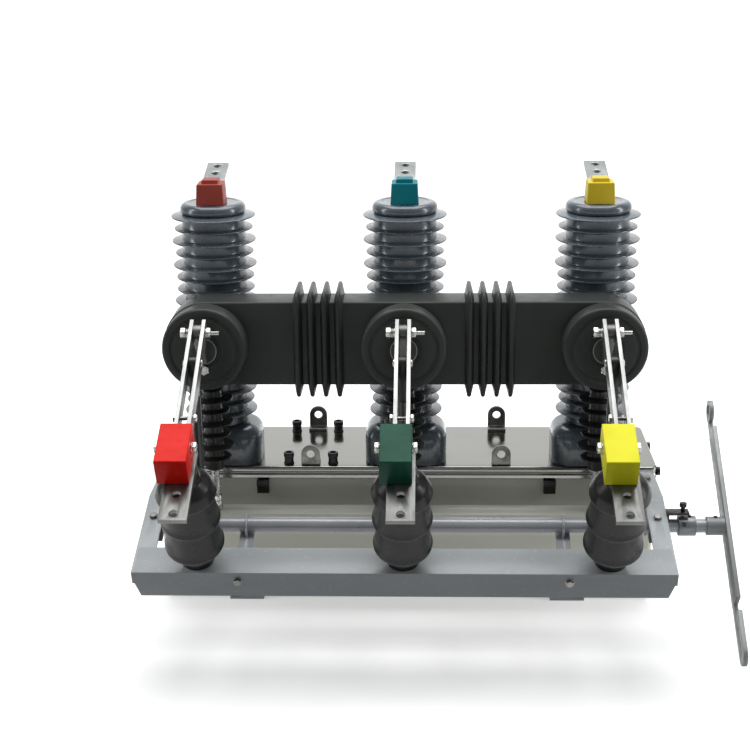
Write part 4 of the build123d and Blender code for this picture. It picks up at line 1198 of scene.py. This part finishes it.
@dataclass
class SupportPosts:
    """Shedded posts below the beam with their studs and nuts."""

    stud_drop: float = 56.0
    stud_sink: float = 20.0
    stud: Pair = (7.5, 100.2)
    washer: Pair = (11.0, 1.6)
    nut_radius: float = 10.0
    nut_starts: Pair = (1.6, 13.8)
    nut_lengths: Pair = (12.0, 10.0)

    def post(self, x: float) -> Surface:
        """Turn a shedded post from its lower end up to the beam."""
        corners = [*STAY_FOOT, *STAY_SHEDS.corners(), *STAY_HEAD]
        return lathe(rounded(corners), (x, HERE.stay_y, HERE.box_top), UP, segments=96)

    def hold(self, x: float) -> Surface:
        """Assemble the stud of a post with its washer and two nuts.

        Args:
            x: place of the phase.

        Returns:
            The four small parts.
        """
        foot = np.array([x, HERE.stay_y, HERE.box_top - self.stud_drop])
        parts = [
            KIT.thread(foot - (0, 0, self.stud_sink), UP, *self.stud),
            KIT.washer(foot, UP, *self.washer),
        ]
        for start, length in zip(self.nut_starts, self.nut_lengths):
            parts.append(KIT.nut(foot + (0, 0, start), UP, self.nut_radius, length))
        return joined(parts)

    def build(self) -> None:
        """Make the posts and their studs."""
        SHOP.piece("stay_posts", three(self.post), DARK_SILICONE, nodes=("support_posts",))
        SHOP.piece("stay_studs", three(self.hold), ZINC, nodes=("post_studs",))


@dataclass
class FrontFrame:
    """Sloping frame of folded sheet with its bolts and tube guides."""

    slope_deg: float = 17.3
    bolt_x: float = 272.0
    flange_x: float = 430.5
    face_drop: float = 18.0
    rear_bolt: float = 46.0
    front_bolt: float = 56.6
    washer: Pair = (8.0, 1.0)
    nut: Pair = (6.8, 4.5)
    shank_sink: float = 9.0
    shank: Pair = (4.0, 10.5)

    def bolts(self) -> Surface:
        """Assemble the bolt heads with their washers.

        Returns:
            The bolts of the front member and of both rails.
        """
        run = slope(self.slope_deg)
        rise = square_to(run)
        edge = HERE.at(0.0, HERE.member_edge)
        parts = []
        for side in (-1, 1):
            x = side * self.flange_x
            face = edge - rise * self.face_drop + np.array([side * self.bolt_x, 0.0, 0.0])
            flat = np.array([x, HERE.box_front - self.rear_bolt, HERE.rail_top])
            low = HERE.at(x, HERE.crease) - run * self.front_bolt
            for spot, axis in ((face, -run), (flat, np.array(UP, float)), (low, rise)):
                parts += [
                    KIT.washer(spot, axis, *self.washer),
                    KIT.nut(spot + axis * self.washer[1], axis, *self.nut),
                    KIT.thread(spot - axis * self.shank_sink, axis, *self.shank),
                ]
        return joined(parts)

    def build(self) -> None:
        """Make the pieces of the frame."""
        for node in ("front_member", "rail_left", "rail_right"):
            SHOP.softened(node, FRAME_PAINT, 1.1, 3)
        SHOP.softened("cross_member", BODY_STEEL, 1.1, 3)
        SHOP.softened("shaft_bearings", DARK_STEEL, 0.8)
        SHOP.softened("tube_guides", SHAFT_PAINT, 0.3)
        SHOP.piece("frame_hardware", self.bolts(), LUG_STEEL, nodes=("frame_bolts",))


@dataclass
class Drive:
    """Operating shaft, coupling, hand lever and lock."""

    hub_radius: float = 21.0
    eye_radius: float = 11.0
    arm: float = 69.0
    plate: float = 6.0
    bevel: float = 0.8
    plate_starts: Pair = (-13.0, 7.0)

    def crank(self, x: float) -> Surface:
        """Loft one crank plate: the hull of two circles, with rounded edges.

        Args:
            x: left face of the plate.

        Returns:
            The plate, at rest.
        """
        run = slope(HERE.knife_slope)
        rise = square_to(run)
        middle = HERE.at(x, HERE.shaft)
        lean = math.asin((self.hub_radius - self.eye_radius) / self.arm)
        big = np.linspace(-np.pi / 2 - lean, np.pi / 2 + lean, 28)
        small = np.linspace(np.pi / 2 + lean, 3 * np.pi / 2 - lean, 20)
        bevel, far = self.bevel, self.plate - self.bevel
        rings = []
        for inset, shift in ((bevel, 0.0), (0.0, bevel), (0.0, far), (bevel, self.plate)):
            hub = (self.hub_radius - inset) * np.stack([np.cos(big), np.sin(big)], 1)
            eye = (self.eye_radius - inset) * np.stack([np.cos(small), np.sin(small)], 1)
            outline = np.vstack([hub, eye - (self.arm, 0.0)])
            flat = outline[:, :1] * run + outline[:, 1:] * rise
            rings.append(middle + flat + np.array([shift, 0.0, 0.0]))
        return loft(np.stack(rings))

    def build(self) -> None:
        """Make the pieces of the drive."""
        cranks = [self.crank(phase.value + start) for phase in Phase for start in self.plate_starts]
        tube = lathe(rounded(SHAFT), (0.0, *HERE.shaft), RIGHT, segments=72)
        shaft = joined([tube, *cranks])
        SHOP.piece("shaft_assembly", shaft, SHAFT_PAINT, "shaft", ("operating_shaft",))
        SHOP.softened("crank_pins", ZINC, 0.5)
        SHOP.softened("coupling", COUPLING_STEEL, 0.5, 3)
        SHOP.softened("set_screws", DARK_STEEL, 0.3)
        SHOP.softened("hand_lever", LEVER_PAINT, 0.8)
        SHOP.softened("lock_bracket", DARK_STEEL, 0.5)
        SHOP.softened("lock_pin", DARK_STEEL, 0.5)


# ---- studio


@dataclass(frozen=True)
class Lamp:
    """One soft light: place, aim and size in metres, power in watts."""

    name: str
    place: Triple
    aim: Triple
    size: Pair
    power: float

    def hang(self) -> None:
        """Hang the light in the scene, turned to its aim."""
        data = bpy.data.lights.new(self.name, "AREA")
        data.shape = "RECTANGLE"
        data.size, data.size_y = self.size
        data.energy = self.power
        lamp = bpy.data.objects.new(self.name, data)
        lamp.location = self.place
        lamp.rotation_mode = "QUATERNION"
        lamp.rotation_quaternion = (Vector(self.aim) - Vector(self.place)).to_track_quat("-Z", "Y")
        bpy.context.scene.collection.objects.link(lamp)


LAMPS = (
    Lamp("top_light", (0.0, 0.3, 3.2), (0.0, 0.1, 0.4), (3.4, 2.6), 105.0),
    Lamp("left_light", (-2.4, -0.5, 1.2), (0.0, -0.2, 0.45), (0.5, 2.0), 16.0),
    Lamp("right_light", (2.4, -0.5, 1.2), (0.0, -0.2, 0.45), (0.5, 2.0), 22.0),
    Lamp("back_light", (0.0, 1.6, 3.2), (0.0, 4.6, 1.2), (4.0, 1.2), 95.0),
)


@dataclass
class Studio:
    """Pale floor, soft lights and the camera, in metres."""

    place: Triple = (0.043, -2.6358, 1.2381)
    right: Triple = (0.99933, 0.03489, -0.01121)
    up: Triple = (0.00020, 0.30072, 0.95371)
    back: Triple = (0.03664, -0.95307, 0.30051)
    lens: float = 71.06
    sensor: float = 36.0
    air: tuple[float, float, float, float] = (0.95, 0.97, 1.0, 1.0)
    air_strength: float = 0.22
    floor_half: float = 9.0
    floor_front: float = -6.0
    floor_middle: float = 2.0
    curve_start: float = 3.0
    curve_radius: float = 2.0
    backdrop_top: float = 7.0
    floor_sink: float = 0.0005

    def floor(self) -> None:
        """Lay the pale floor with a backdrop that curves up behind."""
        turn = np.linspace(0.0, np.pi / 2, 16)
        curve_run = self.curve_start + self.curve_radius * np.sin(turn)
        curve_rise = self.curve_radius - self.curve_radius * np.cos(turn)
        run = np.concatenate([[self.floor_front, self.floor_middle], curve_run, curve_run[-1:]])
        rise = np.concatenate([[0.0, 0.0], curve_rise, [self.backdrop_top]]) - self.floor_sink
        count = len(run)
        edges = (-self.floor_half, self.floor_half)
        sides = [np.stack([np.full(count, x), run, rise], 1) for x in edges]
        faces = [[k, k + 1, count + k + 1, count + k] for k in range(count - 1)]
        mesh = bpy.data.meshes.new("studio_floor")
        mesh.from_pydata(np.vstack(sides).tolist(), [], faces)
        mesh.shade_smooth()
        mesh.materials.append(FLOOR.material())
        sweep = bpy.data.objects.new("studio_floor", mesh)
        sweep.visible_diffuse = False
        bpy.context.scene.collection.objects.link(sweep)

    def camera(self) -> None:
        """Set the camera from its place and its three axes."""
        data = bpy.data.cameras.new("camera")
        data.lens = self.lens
        data.sensor_width = self.sensor
        camera = bpy.data.objects.new("camera", data)
        bpy.context.scene.collection.objects.link(camera)
        turn = Matrix((self.right, self.up, self.back)).transposed().to_4x4()
        camera.matrix_world = Matrix.Translation(self.place) @ turn
        bpy.context.scene.camera = camera

    def build(self) -> None:
        """Set the floor, the lights, the world and the camera."""
        self.floor()
        for lamp in LAMPS:
            lamp.hang()
        world = bpy.data.worlds.new("studio_air")
        world.use_nodes = True
        background = world.node_tree.nodes["Background"]
        background.inputs["Color"].default_value = self.air
        background.inputs["Strength"].default_value = self.air_strength
        bpy.context.scene.world = world
        bpy.context.scene.view_settings.view_transform = "Standard"
        self.camera()


def main() -> None:
    """Build every assembly in order, then the studio, and log the number of pieces made."""
    logging.basicConfig(level=logging.INFO, format="%(name)s: %(message)s")
    for assembly in (
        MechanismBox(), Poles(), PhaseBeam(), Isolator(),
        LowerTerminals(), SupportPosts(), FrontFrame(), Drive(),
    ):
        assembly.build()
    Studio().build()
    LOG.info("%d pieces made", len(SHOP.made))


if __name__ == "__main__":
    main()
